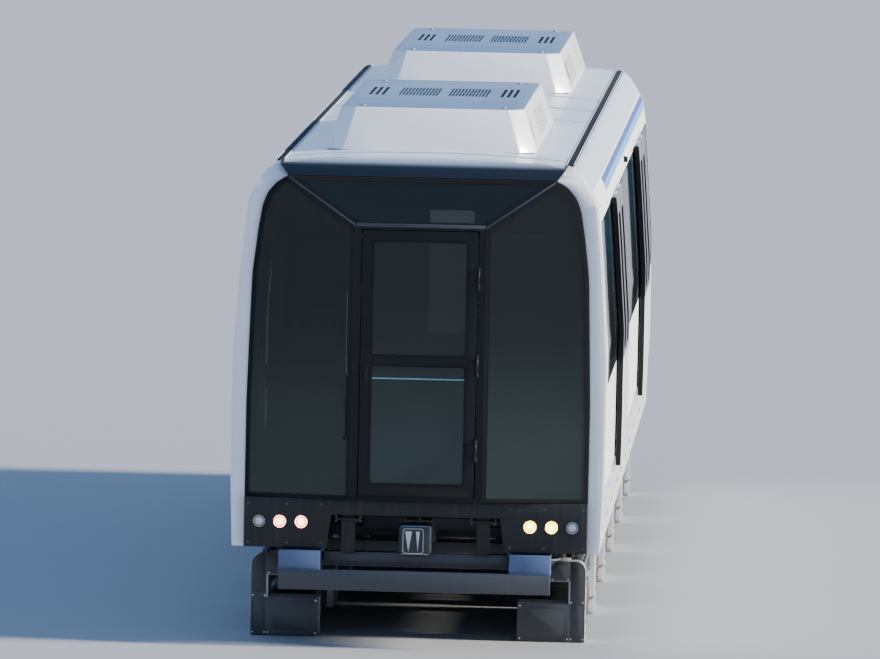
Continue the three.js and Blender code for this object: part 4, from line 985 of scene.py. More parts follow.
makeSeals()
for name, material in (("windscreen", screenGlass), ("windscreen_frame", framePaint),
                       ("underframe", underPaint)):
    nodes[name].data.materials.clear()
    nodes[name].data.materials.append(material)

# Front door: black frame with two sunk panes, a dividing rail, a handle and its hinge knuckles
frontDoor = {"half": 0.405, "low": 1.06, "high": 2.925, "thick": 0.045, "pane": 0.335, "corner": 0.03,
             "sink": 0.009, "lights": ((1.145, 1.985), (2.045, 2.855)), "spacer": 0.1, "hingeX": 6.988,
             "hingeY": 0.4085, "hinges": (1.4, 1.99, 2.6), "knuckle": 0.0396, "handleZ": 1.94, "barZ": 2.06}


def doorPane(z0, z1, grow, start, end, radius):
    half = frontDoor["pane"] + grow
    return prism(rectangle(-half, half, z0 - grow, z1 + grow), "x", start, end, soften=radius, steps=5)


def makeFrontDoor():
    plan = frontDoor
    front, half, pane, corner = bodyLook["nose"], plan["half"], plan["pane"], plan["corner"]
    back = front - plan["thick"]
    door = prism(rectangle(-half, half, plan["low"], plan["high"]), "x", back, front, soften=0.012,
                 bevel=0.004)
    for z0, z1 in plan["lights"]:
        carve(door, doorPane(z0, z1, 0, back - 0.1, front + 0.1, corner))
    for z0, z1 in plan["lights"]:
        pour(door, doorPane(z0, z1, -0.001, front - 0.018, front - plan["sink"], corner), 1)
        seal = doorPane(z0, z1, 0.004, front - 0.02, front + 0.002, corner)
        carve(seal, doorPane(z0, z1, -0.012, front - 0.1, front + 0.1, 0.022))
        pour(door, seal, 2)
    # pale line of the spacer in the lower pane
    z = plan["lights"][0][1] - plan["spacer"]
    addBox(door, (front - 0.0095, 0.01 - pane, z), (front - 0.0085, pane - 0.01, z + 0.009), 4)
    # lever handle on its plate, on the lock side
    y, z = -half + 0.035, plan["handleZ"]
    addBox(door, (front - 0.001, y - 0.018, z - 0.1), (front + 0.004, y + 0.018, z + 0.04), 0, 0.003)
    addRod(door, (front, y, z), (front + 0.012, y, z), 0.011, 16, 2)
    addBeam(door, (front + 0.012, y, z + 0.005), (front + 0.012, y, z - 0.08), 0.014, 0.01, 2, 0.003)
    x, y, reach = plan["hingeX"], plan["hingeY"], plan["knuckle"]
    for z in plan["hinges"]:
        addRod(door, (x, y, z - reach), (x, y, z + reach), 0.012, 20, 0, bevel=0.002)
        addBox(door, (front - 0.001, y - 0.06, z - reach), (front + 0.01, y - 0.004, z + reach), 0, 0.003)
    # grab bar behind the divider
    x, y, z = back - 0.02, half - 0.07, plan["barZ"]
    addRod(door, (x, -y, z), (x, y, z), 0.009, 12, 3)
    addBolts(door, [(x, -y, z), (x, y, z)], "x", 0.007, 0.03, 3, 12)
    finishPiece("frontDoor", door, [framePaint, doorGlass, rubber, stainless, spacerLine],
                ["front_door"], "front_door")


makeFrontDoor()

# Wiper: pivot, arm and blade, parked upright beside the right post
wiperPlan = {"y": -0.5, "low": 1.44, "high": 2.5, "bladeY": -0.503}


def makeWiper():
    wiper = bmesh.new()
    y, low, high, bladeY = (wiperPlan[key] for key in ("y", "low", "high", "bladeY"))
    x = bodyLook["nose"] - lean * (abs(y) - screenPlan["post"])
    pivot = [(0, 0.012), (0.014, 0.011), (0.02, 0.006), (0.021, -0.02), (0, -0.02)]
    addTurned(wiper, pivot, (x, y, low + 0.03), "x", 20, 0)
    addBeam(wiper, (x + 0.009, y, low + 0.03), (x + 0.008, y, low + 0.48), 0.008, 0.014, 0, 0.002)
    addRod(wiper, (x + 0.009, y + 0.006, low + 0.46), (x + 0.008, y - 0.002, low + 0.62), 0.0035, 8, 1)
    for proud, height, slot, bevel in ((0.007, 0.007, 1, 0.001), (0.003, 0.003, 2, 0)):
        addBeam(wiper, (x + proud, bladeY, low + 0.3), (x + proud, bladeY, high), 0.006, height, slot, bevel)
    finishPiece("wiperArm", wiper, [framePaint, trimPaint, rubber], ["wiper"])


makeWiper()
print("face made")

# Levitation modules: two cast brackets that clasp the rail, a motor beam over it and a magnet beam under it
modulePlan = {"end": 1.205, "bracket": 0.28, "inner": 0.7, "outer": 1.18, "top": 0.57, "channelLow": 0.27,
              "channelHigh": 0.425, "channelOuter": 1.06, "shoulder": 0.07, "joint": (0.395, 0.402),
              "centres": (-5.0, -2.5, 0.0, 2.5, 5.0)}
flarePlan = {"from": 1.064, "x": 0.505, "z": 0.42, "radius": 0.58, "neckX": 1.085}
endPlan = {"proud": 0.012, "split": 1.07, "gap": 0.002, "inner": 0.93, "low": 0.43}
springPlan = {"x": 1.065, "y": 0.85, "low": 0.565, "top": 0.9495, "plate": 0.025, "neck": 0.112,
              "belly": 0.135, "half": 0.138, "reach": 0.15, "waves": 24}
armPlan = {"x": 0.62, "half": 0.058, "low": 0.562, "high": 0.638, "end": 0.74, "foot": (0.7, 0.78),
           "footLow": 0.43, "ribs": (0.1, 0.4, 0.66)}
coilPlan = {"count": 8, "pitch": 0.24, "half": 0.094, "low": 0.332, "high": 0.468, "face": 1.15}
beamPlan = {"ribs": 30, "ribPitch": 0.06, "poles": 4, "polePitch": 0.46, "tray": 0.93, "clips": 7,
            "clipPitch": 0.28}
moduleFinish = {"alloy": castAlloy, "paint": underPaint, "resin": coilResin, "tape": coilTape,
                "rubber": rubber, "steel": machinedSteel, "black": framePaint, "shell": shadedShellPaint}
slots = {key: index for index, key in enumerate(moduleFinish)}


def spread(count, pitch):
    # places in a row about the middle
    return [(k - (count - 1) / 2) * pitch for k in range(count)]


def makeBracket():
    plan, flare = modulePlan, flarePlan
    inner, outer, top, low, high, deep = (plan[key] for key in ("inner", "outer", "top", "channelLow",
                                                                "channelHigh", "channelOuter"))
    x0, x1 = plan["end"] - plan["bracket"], plan["end"]
    outline = [(inner, 0.0), (outer, 0.0), (outer, top), (inner, top), (inner, high), (deep, high),
               (deep, low), (inner, low)]
    part = prism(outline, "x", x0, x1, soften=plan["shoulder"], only=[2], steps=8)
    # flare of the foot, neck over it, and the joint between the upper and lower castings
    bow, neck, joint = bmesh.new(), bmesh.new(), bmesh.new()
    addRod(bow, (flare["x"], flare["from"], flare["z"]), (flare["x"], 1.3, flare["z"]), flare["radius"], 64)
    addBox(neck, (x0 - 0.05, flare["from"], flare["z"]), (flare["neckX"], 1.3, 0.7))
    addBox(joint, (x0, outer - 0.006, plan["joint"][0]), (x1 + 0.1, outer + 0.05, plan["joint"][1]))
    for tool in (bow, neck, joint):
        carve(part, tool)
    roundEdges(part, 0.007, angle=50)
    bolts = [(x1 - 0.04, z) for z in (0.06, 0.15, 0.24, 0.45, 0.5)] + [(x0 + 0.06, z) for z in (0.05, 0.12)]
    addBolts(part, [(x, outer - 0.001, z) for x, z in bolts], "y", 0.013, 0.005, slots["steel"])
    return part


def makeEndCovers():
    # dark shells with round tops on the bracket's end, split over the rail's edge, and a light plate; the
    # shells' dark is painted shade
    plan, cover = modulePlan, endPlan
    part = bmesh.new()
    x0, x1 = plan["end"] - 0.002, plan["end"] + cover["proud"]
    low, top, split, gap = cover["low"], plan["top"], cover["split"], cover["gap"]
    for outline, radius, only, steps, bevel in (
            (rectangle(cover["inner"], split - gap, low, top), plan["shoulder"], [3], 8, 0.004),
            (rectangle(split + gap, plan["outer"] - 0.002, 0.0, top), plan["shoulder"], [2], 8, 0.004),
            (rectangle(plan["inner"], split - gap, 0.0, plan["channelLow"]), 0.01, None, 2, 0.003)):
        addPrism(part, outline, "x", x0, x1, slots["shell"], soften=radius, only=only, steps=steps,
                 bevel=bevel)
    addBox(part, (x0, 0.705, low), (plan["end"] + 0.008, 0.925, 0.505), slots["steel"], 0.004)
    addBox(part, (x0 - 0.03, 0.71, 0.52), (x0 + 0.006, 0.925, 0.545), slots["alloy"], 0.004)
    addRod(part, (x0, 0.715, 0.532), (x0 + 0.014, 0.715, 0.532), 0.017, 16, slots["steel"])
    addBolts(part, [(plan["end"] + 0.0078, y, 0.468) for y in (0.735, 0.895)], "x", 0.011, 0.004,
             slots["alloy"])
    # raised ribs that follow the shells' round tops, and their screws
    for rib in ((1.095, 1.155, 0.3, 0.53), (0.955, 1.045, 0.45, 0.54), (0.76, 1.03, 0.04, 0.23),
                (1.095, 1.155, 0.04, 0.26)):
        addPrism(part, rectangle(*rib), "x", x1 - 0.001, x1 + 0.003, slots["shell"], soften=0.025, steps=4,
                 bevel=0.001)
    screws = ((1.08, 0.02), (1.165, 0.02), (1.08, 0.28), (1.165, 0.28), (0.72, 0.02), (0.72, 0.25),
              (1.055, 0.02), (0.945, 0.44), (1.055, 0.44))
    addBolts(part, [(x1 - 0.001, y, z) for y, z in screws], "x", 0.007, 0.003, slots["steel"])
    return part


def makeSpring():
    # air spring with two bellies, a girdle ring, a bead ring and the plate that slides under the floor
    x, y, low, top, plate, neck, belly, half, reach, waves = springPlan.values()
    part = bmesh.new()
    high = top - plate
    middle = (low + high) / 2
    wave = [(neck + (belly - neck) * abs(math.sin(2 * math.pi * k / waves)) ** 0.8,
             low + (high - low) * k / waves)
            for k in range(waves + 1)]
    addTurned(part, [(0, low), *wave, (0, high)], (x, y, 0), "z", 28, slots["rubber"])
    for z, radius, thick in ((low + 0.006, 0.145, 0.01), (middle, neck + 0.008, 0.007),
                             (high - 0.006, neck + 0.012, 0.008)):
        addRod(part, (x, y, z - thick), (x, y, z + thick), radius, 28, slots["steel"], bevel=0.002)
    addBox(part, (x - half, y - reach, high), (x + half, y + reach, top), slots["paint"], 0.004)
    addBolts(part, [(x + dx, y + dy, high - 0.007) for dx in (-0.11, 0.11) for dy in (-0.12, 0.12)], "z",
             0.011, 0.008, slots["steel"])
    # levelling rod beside the spring, and the round damper cap beside the bracket
    addRod(part, (0.94, 0.985, 0.57), (0.94, 0.985, 0.93), 0.009, 10, slots["steel"])
    addBox(part, (0.915, 0.96, 0.565), (0.965, 1.015, 0.625), slots["paint"], 0.006)
    addBox(part, (0.915, 0.92, 0.915), (0.965, 1.0, 0.9295), slots["paint"], 0.003)
    cap = [(0, 0.05), (0.03, 0.05), (0.036, 0.034), (0.09, 0.03), (0.118, 0.02), (0.128, 0.0),
           (0.128, -0.045), (0, -0.045)]
    addTurned(part, cap, (0.985, 1.1, 0.34), "y", 36, slots["shell"])
    return part


def makeCrossArm():
    x, half, low, high, end, foot, footLow, ribs = armPlan.values()
    part = bmesh.new()
    addBox(part, (x - half, 0.0002, low), (x + half, end, high), slots["paint"], 0.008)
    addBox(part, (x - half, foot[0], footLow), (x + half, foot[1], high + 0.002), slots["paint"], 0.008)
    for y in ribs:
        addBox(part, (x - half - 0.01, y - 0.012, low - 0.002), (x + half + 0.01, y + 0.012, high + 0.002),
               slots["paint"], 0.003)
    addBolts(part, [(x + dx, end, high) for dx in (-0.04, 0.04)], "z", 0.012, 0.011, slots["steel"])
    return part


def makeCoils():
    # outer face: potted motor coils above, taped magnet coils below, leads up to the tray
    count, pitch, half, low, high, face = coilPlan.values()
    part = bmesh.new()
    for x in spread(count, pitch):
        addBox(part, (x - half, modulePlan["channelOuter"], low), (x + half, face - 0.008, high),
               slots["resin"], 0.01)
        addBox(part, (x - half + 0.02, face - 0.01, low + 0.02), (x + half - 0.02, face, high - 0.02),
               slots["resin"], 0.006)
        for z in (low + 0.004, high - 0.012):
            addBox(part, (x - half, face - 0.012, z), (x + half, face - 0.003, z + 0.008), slots["alloy"],
                   0.002)
        addBolts(part, [(x + dx, face - 0.009, 0.40) for dx in (-0.084, 0.084)], "y", 0.007, 0.006,
                 slots["steel"])
        addBox(part, (x - 0.09, 1.1, 0.042), (x + 0.09, face - 0.003, 0.23), slots["tape"], 0.02, 3)
        addBox(part, (x - 0.05, face - 0.006, 0.08), (x + 0.05, face, 0.19), slots["tape"], 0.008)
        for dx, y, z in ((-0.03, 1.095, 0.535), (0.03, 1.06, 0.54)):
            addRod(part, (x + dx, 1.12, 0.465), (x + dx * 1.4, y, z), 0.007, 8, slots["black"])
    return part


def addTray(bm):
    # tray with pipes, cables, clips and junction boxes along the top
    reach = beamPlan["tray"]
    addBox(bm, (-reach, 0.99, 0.502), (reach, 1.13, 0.512), slots["paint"], 0.002)
    for y, z, radius, slot in ((1.035, 0.528, 0.016, "steel"), (1.066, 0.56, 0.011, "rubber"),
                               (1.096, 0.53, 0.018, "black"), (1.005, 0.55, 0.009, "steel"),
                               (1.124, 0.521, 0.008, "rubber")):
        addRod(bm, (-reach, y, z), (reach, y, z), radius, 12, slots[slot])
    for x in spread(beamPlan["clips"], beamPlan["clipPitch"]):
        addBox(bm, (x - 0.009, 0.995, 0.51), (x + 0.009, 1.135, 0.552), slots["paint"], 0.003)
    for x, width, height in ((-0.33, 0.16, 0.07), (0.3, 0.22, 0.06), (0.02, 0.09, 0.05)):
        addBox(bm, (x - width / 2, 1.0, 0.555), (x + width / 2, 1.1, 0.56 + height), slots["paint"], 0.008)
        addBolts(bm, [(x + share * width, 1.099, 0.59) for share in (-0.3, 0.3)], "y", 0.008, 0.005,
                 slots["steel"], 8)


def makeModuleMesh():
    end = gathered(makeBracket(), makeEndCovers(), makeSpring(), makeCrossArm())
    other = end.copy()
    mirror(other, 0)
    bm = gathered(end, other, makeCoils())
    reach, tray = modulePlan["end"] - 0.012, beamPlan["tray"]
    # motor beam with cooling ribs over the rail, magnet beam with pole plates under it
    addBox(bm, (-reach, 0.72, 0.427), (reach, 1.075, 0.495), slots["paint"], 0.006)
    for x in spread(beamPlan["ribs"], beamPlan["ribPitch"]):
        addBox(bm, (x - 0.006, 0.75, 0.49), (x + 0.006, 0.985, 0.512), slots["paint"])
    # the magnet beam and its strips are black, darker than the chassis paint, as painted shade under the rail
    addBox(bm, (-reach, 0.745, 0.02), (reach, 1.105, 0.25), slots["black"], 0.01)
    for x in spread(beamPlan["poles"], beamPlan["polePitch"]):
        addBox(bm, (x - 0.2, 0.742, 0.06), (x + 0.2, 0.80, 0.235), slots["tape"], 0.03)
    for y0, y1, z0, z1 in ((1.112, 1.14, 0.245, 0.268), (1.07, 1.145, 0.02, 0.038)):
        addBox(bm, (-tray, y0, z0), (tray, y1, z1), slots["black"], 0.004)
    addTray(bm)
    # landing pads that meet the rail when the car sets down
    for x in (-0.8, 0.8):
        addBox(bm, (x - 0.12, 0.80, 0.4255), (x + 0.12, 0.90, 0.43), slots["steel"], 0.001)
    mesh = bpy.data.meshes.new("moduleShape")
    bm.to_mesh(mesh)
    bm.free()
    return mesh


moduleShape = makeModuleMesh()
for number, x in enumerate(modulePlan["centres"], 1):
    body = "car_body" if x == 0 else "bogie_%d" % number
    for name, side in sides:
        bm = bmesh.new()
        bm.from_mesh(moduleShape)
        acrossTo(bm, side)
        bmesh.ops.translate(bm, vec=(x, 0, 0), verts=bm.verts)
        finishPiece("module%d%s" % (number, name), bm, moduleFinish.values(),
                    ["module_%d_%s" % (number, name.lower())], body)
bpy.data.meshes.remove(moduleShape)
print("modules made")

# Equipment cases under the floor: ribbed lids, latches and vents, hung from two rails
# each case: rear end, front end, bottom, lids
casePlan = {"cases": ((-5.6, -4.05, 0.70, 3), (-3.45, -1.45, 0.69, 4), (-1.05, 1.05, 0.70, 4),
                      (1.45, 3.45, 0.69, 4), (4.05, 5.5, 0.70, 3)),
            "half": 0.43, "top": 0.91, "railY": 0.38, "rail": 0.025, "railTop": 0.9497, "vents": 4,
            "ventPitch": 0.022}


def makeCases():
    cases = bmesh.new()
    half, top, face = casePlan["half"], casePlan["top"], casePlan["half"] - 0.004
    for x0, x1, low, count in casePlan["cases"]:
        addBox(cases, (x0, -face, low), (x1, face, top), 0, 0.01)
        width = (x1 - x0) / count
        for a in (x0 + k * width for k in range(count)):
            b = a + width
            for side in (-1, 1):
                y = side * face
                addBox(cases, (a + 0.004, y, low + 0.02), (b - 0.004, y + side * 0.004, top - 0.02), 0, 0.002)
                addBolts(cases, [(a + 0.05, y, z) for z in (low + 0.05, top - 0.05)], "y", 0.01,
                         side * 0.0042, 1, 8)
                for v in range(casePlan["vents"]):
                    z = low + 0.07 + v * casePlan["ventPitch"]
                    addBox(cases, (a + 0.12, y, z), (b - 0.12, y + side * 0.0055, z + 0.012), 2, 0.002)
            addBox(cases, (a + 0.03, -half + 0.05, low - 0.006), (b - 0.03, half - 0.05, low + 0.002), 0,
                   0.003)
    rear, front = casePlan["cases"][0][0], casePlan["cases"][-1][1]
    for side in (-1, 1):
        # hanger rail, with a pipe and a cable beside it
        y, rail = side * casePlan["railY"], casePlan["rail"]
        addBox(cases, (rear, y - rail, top), (front, y + rail, casePlan["railTop"]), 1, 0.004)
        for y, z, radius, slot in ((0.3, 0.93, 0.014, 2), (0.25, 0.925, 0.009, 1)):
            addRod(cases, (rear, side * y, z), (front, side * y, z), radius, 12, slot)
    finishPiece("equipmentCases", cases, [underPaint, machinedSteel, rubber],
                ["underfloor_equipment"])


makeCases()

# Deflector: folded beam across the rails on two boxed arms, tied at the back and hung from the cab floor
deflectorPlan = {"half": 0.95, "beam": (6.95, 7.0), "low": 0.4, "high": 0.54, "boxInner": 0.66,
                 "boxBack": 6.7, "boxFront": 6.96, "boxHigh": 0.67, "hangerY": (0.64, 0.74),
                 "hangerTop": 1.0697, "gussetY": 0.8}


def makeDeflector():
    plan = deflectorPlan
    bm = bmesh.new()
    half, low, high, boxBack, boxHigh = (plan[key] for key in ("half", "low", "high", "boxBack", "boxHigh"))
    back, front = plan["beam"]
    lipped = [(back, low), (front, low), (front, high - 0.012), (front - 0.02, high), (back, high)]
    addPrism(bm, lipped, "y", -half, half, 3, bevel=0.005)
    # painted highlight: a light strip along the fold
    x, z = front - 0.0205, high - 0.0005
    addBeam(bm, (x, 0.004 - half, z), (x, half - 0.004, z), 0.012, 0.0016, 0)
    for side in (-1, 1):
        hanger = [side * y for y in plan["hangerY"]]
        addBox(bm, (boxBack, side * plan["boxInner"], high - 0.012), (plan["boxFront"], side * half, boxHigh),
               0, 0.005)
        addBox(bm, (boxBack, hanger[0], 0.6), (boxBack + 0.04, hanger[1], plan["hangerTop"]), 1, 0.004)
        # gusset from the box down to the beam
        y = side * plan["gussetY"]
        addPrism(bm, [(6.82, 0.545), (6.952, 0.545), (6.952, 0.42)], "y", y - 0.006, y + 0.006, 0)
        boxBolts = [(x, side * y, boxHigh - 0.004) for y in (0.70, 0.91) for x in (6.74, 6.92)]
        addBolts(bm, boxBolts, "z", 0.012, 0.004, 2)
        addBolts(bm, [(front - 0.006, side * y, 0.47) for y in (0.2, 0.55, 0.85)], "x", 0.012, 0.0058, 2)
    addBox(bm, (boxBack, -half, 0.55), (boxBack + 0.04, half, 0.65), 3, 0.005)
    addBolts(bm, [(6.738, y, 0.6) for y in (-0.5, -0.25, 0.25, 0.5)], "x", 0.01, 0.008, 3)
    finishPiece("deflectorBeam", bm, [deflectorShadeBluePaint, underPaint, machinedSteel, beamPaint],
                ["deflector"])


makeDeflector()

# Couplers: head with cone and funnel on a round bar, and the yokes that hold their pivots
couplerPlan = {"z": 0.76, "bar": 0.045, "eye": 0.07, "bore": 0.0256, "eyeHalf": 0.06, "headHalf": 0.105,
               "collars": (0.35, 0.5, 0.65), "wedges": ((-0.045, 0.025), (0.02, 0.014)), "yokeTop": 0.9497}


def addHeadFace(bm, headX, half):
    # two wedge-shaped sockets with bright sides, a rim, a cone and the air ports under them
    z = couplerPlan["z"]
    wedges = [[(y - width, z + 0.06), (y + width, z + 0.06), (y, z - 0.085)]
              for y, width in couplerPlan["wedges"]]
    carve(bm, gathered(*[prism(wedge, "x", headX - 0.009, headX + 0.05) for wedge in wedges]))
    for wedge in wedges:
        addPrism(bm, wedge, "x", headX - 0.0095, headX - 0.007, 1)
    paintWhere(bm, 1, lambda c, n: headX - 0.0085 < c.x < headX - 0.001 and abs(c.y) < 0.08 and n.x < 0.9)
    rim, hollow = (prism(rectangle(*outline), "x", headX - reach, headX + reach, soften=radius, steps=4)
                   for outline, reach, radius in (((-0.085, 0.06, z - 0.095, z + 0.08), 0.002, 0.02),
                                                  ((-0.081, 0.056, z - 0.091, z + 0.076), 0.1, 0.018)))
    carve(rim, hollow)
    pour(bm, rim, 1)
    cone = [(0, 0.0), (0.012, -0.002), (0.02, -0.02), (0.024, -0.03), (0, -0.03)]
    port = [(0.008, 0.0), (0.016, 0.0), (0.018, -0.01), (0.008, -0.01), (0.008, 0.0)]
    addTurned(bm, cone, (headX - 0.001, 0.07, z + 0.02), "x", 20, 1)
    for y in (-0.08, 0.08):
        addTurned(bm, port, (headX - 0.0005, y, z - 0.075), "x", 18, 2)
    addBox(bm, (headX - 0.15, -0.09, z + 0.1), (headX - 0.02, 0.09, z + 0.104), 0, 0.001)
    addRod(bm, (headX - 0.11, half - 0.01, z - 0.02), (headX - 0.11, half, z - 0.02), 0.03, 20, 1)


def makeCoupler(name, pivotX, headX, depth, half, bevel):
    z, bar, eye, bore, eyeHalf, headHalf, collars = [*couplerPlan.values()][:7]
    bm = bmesh.new()
    ahead = 1 if headX > pivotX else -1
    back = headX - ahead * depth
    addRod(bm, (pivotX + ahead * 0.05, 0, z), (headX - ahead * depth * 0.6, 0, z), bar, 28, 0)
    for share in collars:
        x = pivotX + (back - pivotX) * share
        addRod(bm, (x - 0.015, 0, z), (x + 0.015, 0, z), bar + 0.012, 28, 0, bevel=0.004)
    addBox(bm, (back, -half, z - headHalf), (headX, half, z + headHalf), 0, bevel, 3)
    addTurned(bm, [(bore, -eyeHalf), (eye, -eyeHalf), (eye, eyeHalf), (bore, eyeHalf), (bore, -eyeHalf)],
              (pivotX, 0, z), "z", 28, 0)
    if name == "front":
        addHeadFace(bm, headX, half)
    finishPiece("coupler" + name.capitalize(), bm, [couplerSteel, machinedSteel, rubber],
                ["coupler_" + name], "coupler_" + name)


def makeYoke(name, pivotX):
    bm = bmesh.new()
    z, eye, top = (couplerPlan[key] for key in ("z", "eyeHalf", "yokeTop"))
    addBox(bm, (-0.16, -0.11, z - 0.085), (-0.1, 0.11, top), 0, 0.006)
    for side in (1, -1):
        addBox(bm, (-0.12, -0.09, z + side * (eye + 0.006)), (0.06, 0.09, z + side * 0.084), 0, 0.005)
    addRod(bm, (0, 0, z - 0.095), (0, 0, z + 0.095), 0.025, 24, 1)
    addBox(bm, (-0.16, -0.25, top - 0.03), (0.06, 0.25, top), 0, 0.004)
    addBolts(bm, [(x, y, 0.905) for y in (-0.2, 0.2) for x in (-0.12, 0.02)], "z", 0.012, 0.015, 1)
    for y in (-0.1, 0.1):
        addPrism(bm, [(-0.1, 0.92), (-0.1, 0.85), (0.0, 0.92)], "y", y - 0.006, y + 0.006, 0)
    if pivotX < 0:
        mirror(bm, 0)
    bmesh.ops.translate(bm, vec=(pivotX, 0, 0), verts=bm.verts)
    finishPiece("yoke" + name.capitalize(), bm, [underPaint, machinedSteel],
                ["coupler_yoke_" + name])


# each: name, pivot, face, depth and half width of the head, bevel
couplers = (("front", 6.2, 6.94, 0.2, 0.115, 0.02), ("rear", -6.3, -7.0, 0.06, 0.1, 0.008))
for coupler in couplers:
    makeCoupler(*coupler)
for coupler in couplers:
    makeYoke(*coupler[:2])
print("under gear made")

# Rear end: wall with the gangway opening, and the pleated bellows
rearPlan = {"back": -6.9, "inside": -6.84, "half": 0.5, "top": 3.06, "low": 1.07}
# on each side: y, half width, bottom, top, depth outside and inside the wall's face, slot, bevel
rearFittings = {"uprightJoint": (0.82, 0.002, 1.12, 3.2, 0.001, 0.002, 2, 0),
                "levelJoint": (0.93, 0.27, 2.298, 2.302, 0.001, 0.002, 2, 0),
                "socket": (0.78, 0.05, 1.14, 1.26, 0.04, 0.001, 4, 0.01),
                "lampCover": (1.03, 0.04, 2.72, 2.86, 0.012, 0.001, 2, 0.006)}
grabRail = {"y": 0.98, "away": 0.035, "low": 1.35, "high": 2.15, "radius": 0.012}
bellowsPlan = {"start": -7.0, "half": 0.64, "low": 1.125, "high": 3.15, "corner": 0.09, "grow": 0.02,
               "folds": 3, "steps": 8, "inner": (-0.52, 0.52, 1.19, 3.04),
               "frame": (-0.655, 0.655, 1.11, 3.165), "frameInner": (-0.6, 0.6, 1.2, 3.1), "screwY": 0.648,
               "screws": [1.25 + k * 0.22 for k in range(9)]}


def makeRearWall():
    back, inside, half, top, low = rearPlan.values()
    wall = bodyPrism(low, back, inside)
    roundEdges(wall, 0.004, angle=60)
    carve(wall, prism(rectangle(-half, half, bodyLook["floor"], top), "x", back - 0.1, inside + 0.1))
    paintWhere(wall, 1, lambda c, n: n.x > 0.5 or (abs(c.y) < half + 0.01 and abs(n.x) < 0.1
                                                   and 1.1 < c.z < 3.07))
    x, radius, socket = back - grabRail["away"], grabRail["radius"], rearFittings["socket"][0]
    for side in (-1, 1):
        for y, width, z0, z1, out, into, slot, bevel in rearFittings.values():
            addBox(wall, (back - out, side * y - width, z0), (back + into, side * y + width, z1), slot, bevel)
        addRod(wall, (back - 0.05, side * socket, 1.2), (back - 0.03, side * socket, 1.2), 0.03, 20, 2)
        y = side * grabRail["y"]
        addRod(wall, (x, y, grabRail["low"]), (x, y, grabRail["high"]), radius, 14, 3)
        for z in (grabRail["low"] + 0.01, grabRail["high"] - 0.01):
            addRod(wall, (x, y, z), (back + 0.002, y, z), radius, 14, 3)
    finishPiece("rearWall", wall, [glossWhite, lining, rubber, stainless, underPaint],
                ["rear_end_wall"])


def makeBellows():
    plan, back = bellowsPlan, rearPlan["back"]
    start, half, low, high, corner, grow, folds, steps = [*plan.values()][:8]
    part = bmesh.new()
    corners = [part.verts.new((start, y, z)) for y, z in rectangle(-half, half, low, high)]
    part.faces.new(corners)
    bmesh.ops.bevel(part, geom=corners, offset=corner, affect="VERTICES", segments=6, profile=0.5,
                    material=-1)
    # each pleat swells and closes again
    pitch = (back - bodyLook["seam"] - start) / folds
    middle = Matrix.Translation((0, 0, -(low + high) / 2))
    face, previous = part.faces[:], 0.0
    for k in range(1, folds * steps + 1):
        grown = bmesh.ops.extrude_face_region(part, geom=face)["geom"]
        verts = [g for g in grown if isinstance(g, bmesh.types.BMVert)]
        face = [g for g in grown if isinstance(g, bmesh.types.BMFace)]
        swell = grow * abs(math.sin(math.pi * k / steps)) ** 0.7
        change = swell - previous
        previous = swell
        bmesh.ops.translate(part, vec=(pitch / steps, 0, 0), verts=verts)
        bmesh.ops.scale(part, vec=(1, 1 + change / 0.65, 1 + change / 1.02), verts=verts, space=middle)
    bmesh.ops.recalc_face_normals(part, faces=part.faces)
    carve(part, prism(rectangle(*plan["inner"]), "x", start - 0.1, back + 0.1, soften=0.04, steps=4))
    # aluminium frame that the pleats are clamped to, on the wall's side
    ring = prism(rectangle(*plan["frame"]), "x", back - 0.012, back - 0.0004, soften=0.1, steps=6)
    carve(ring, prism(rectangle(*plan["frameInner"]), "x", back - 0.3, back + 0.2, soften=0.06, steps=6))
    whole = bmesh.new()
    pour(whole, part, 0)
    pour(whole, ring, 1)
    screws = [(back - 0.016, side * plan["screwY"], z) for side in (-1, 1) for z in plan["screws"]]
    addBolts(whole, screws, "x", 0.006, 0.006, 1)
    finishPiece("gangwayBellows", whole, [bellowsCloth, castAlloy], ["gangway_bellows"],
                crease=50)


makeRearWall()
makeBellows()
print("rear end made")

# Inside: benches with separate cushions, handrails, cab partition, desk and seat
# each bench: rear end, front end, seats
benchPlan = {"spans": {"Middle": (-2.65, 2.15, 10), "Rear": (-6.7, -4.45, 5)}, "depth": 0.44, "seatLow": 1.51,
             "seatHigh": 1.63, "restThick": 0.09, "restHigh": 1.82, "crown": 0.014, "end": 0.03}
benchBack = halfWidth(1.6) - bodyLook["wall"] - 0.006


def addCushion(bm, low, high, crownAxis, crown):
    # a crowned pad: rounded box, subdivided, its top raised towards the middle
    part = bmesh.new()
    low, high = Vector(low), Vector(high)
    size, centre = high - low, (low + high) / 2
    bmesh.ops.create_cube(part, size=1.0, matrix=Matrix.Translation(centre) @ Matrix.Diagonal((*size, 1)))
    roundEdges(part, min(size) * 0.3, steps=3)
    long = [e for e in part.edges if e.calc_length() > 0.12]
    bmesh.ops.subdivide_edges(part, edges=long, cuts=4, use_grid_fill=True)
    others = [i for i in range(3) if i != crownAxis]
    for v in part.verts:
        away = [2 * (v.co[i] - centre[i]) / size[i] for i in others]
        hump = max(0.0, 1 - away[0] ** 2) * max(0.0, 1 - away[1] ** 2)
        direction = 1 if v.co[crownAxis] > centre[crownAxis] else -0.2
        v.co[crownAxis] += direction * crown * (hump - 0.6)
    bmesh.ops.smooth_vert(part, verts=part.verts, factor=0.4, use_axis_x=True, use_axis_y=True,
                          use_axis_z=True)
    pour(bm, part)


def finishPads(name, bm):
    piece = finishPiece(name, bm, [moquette], crease=60)


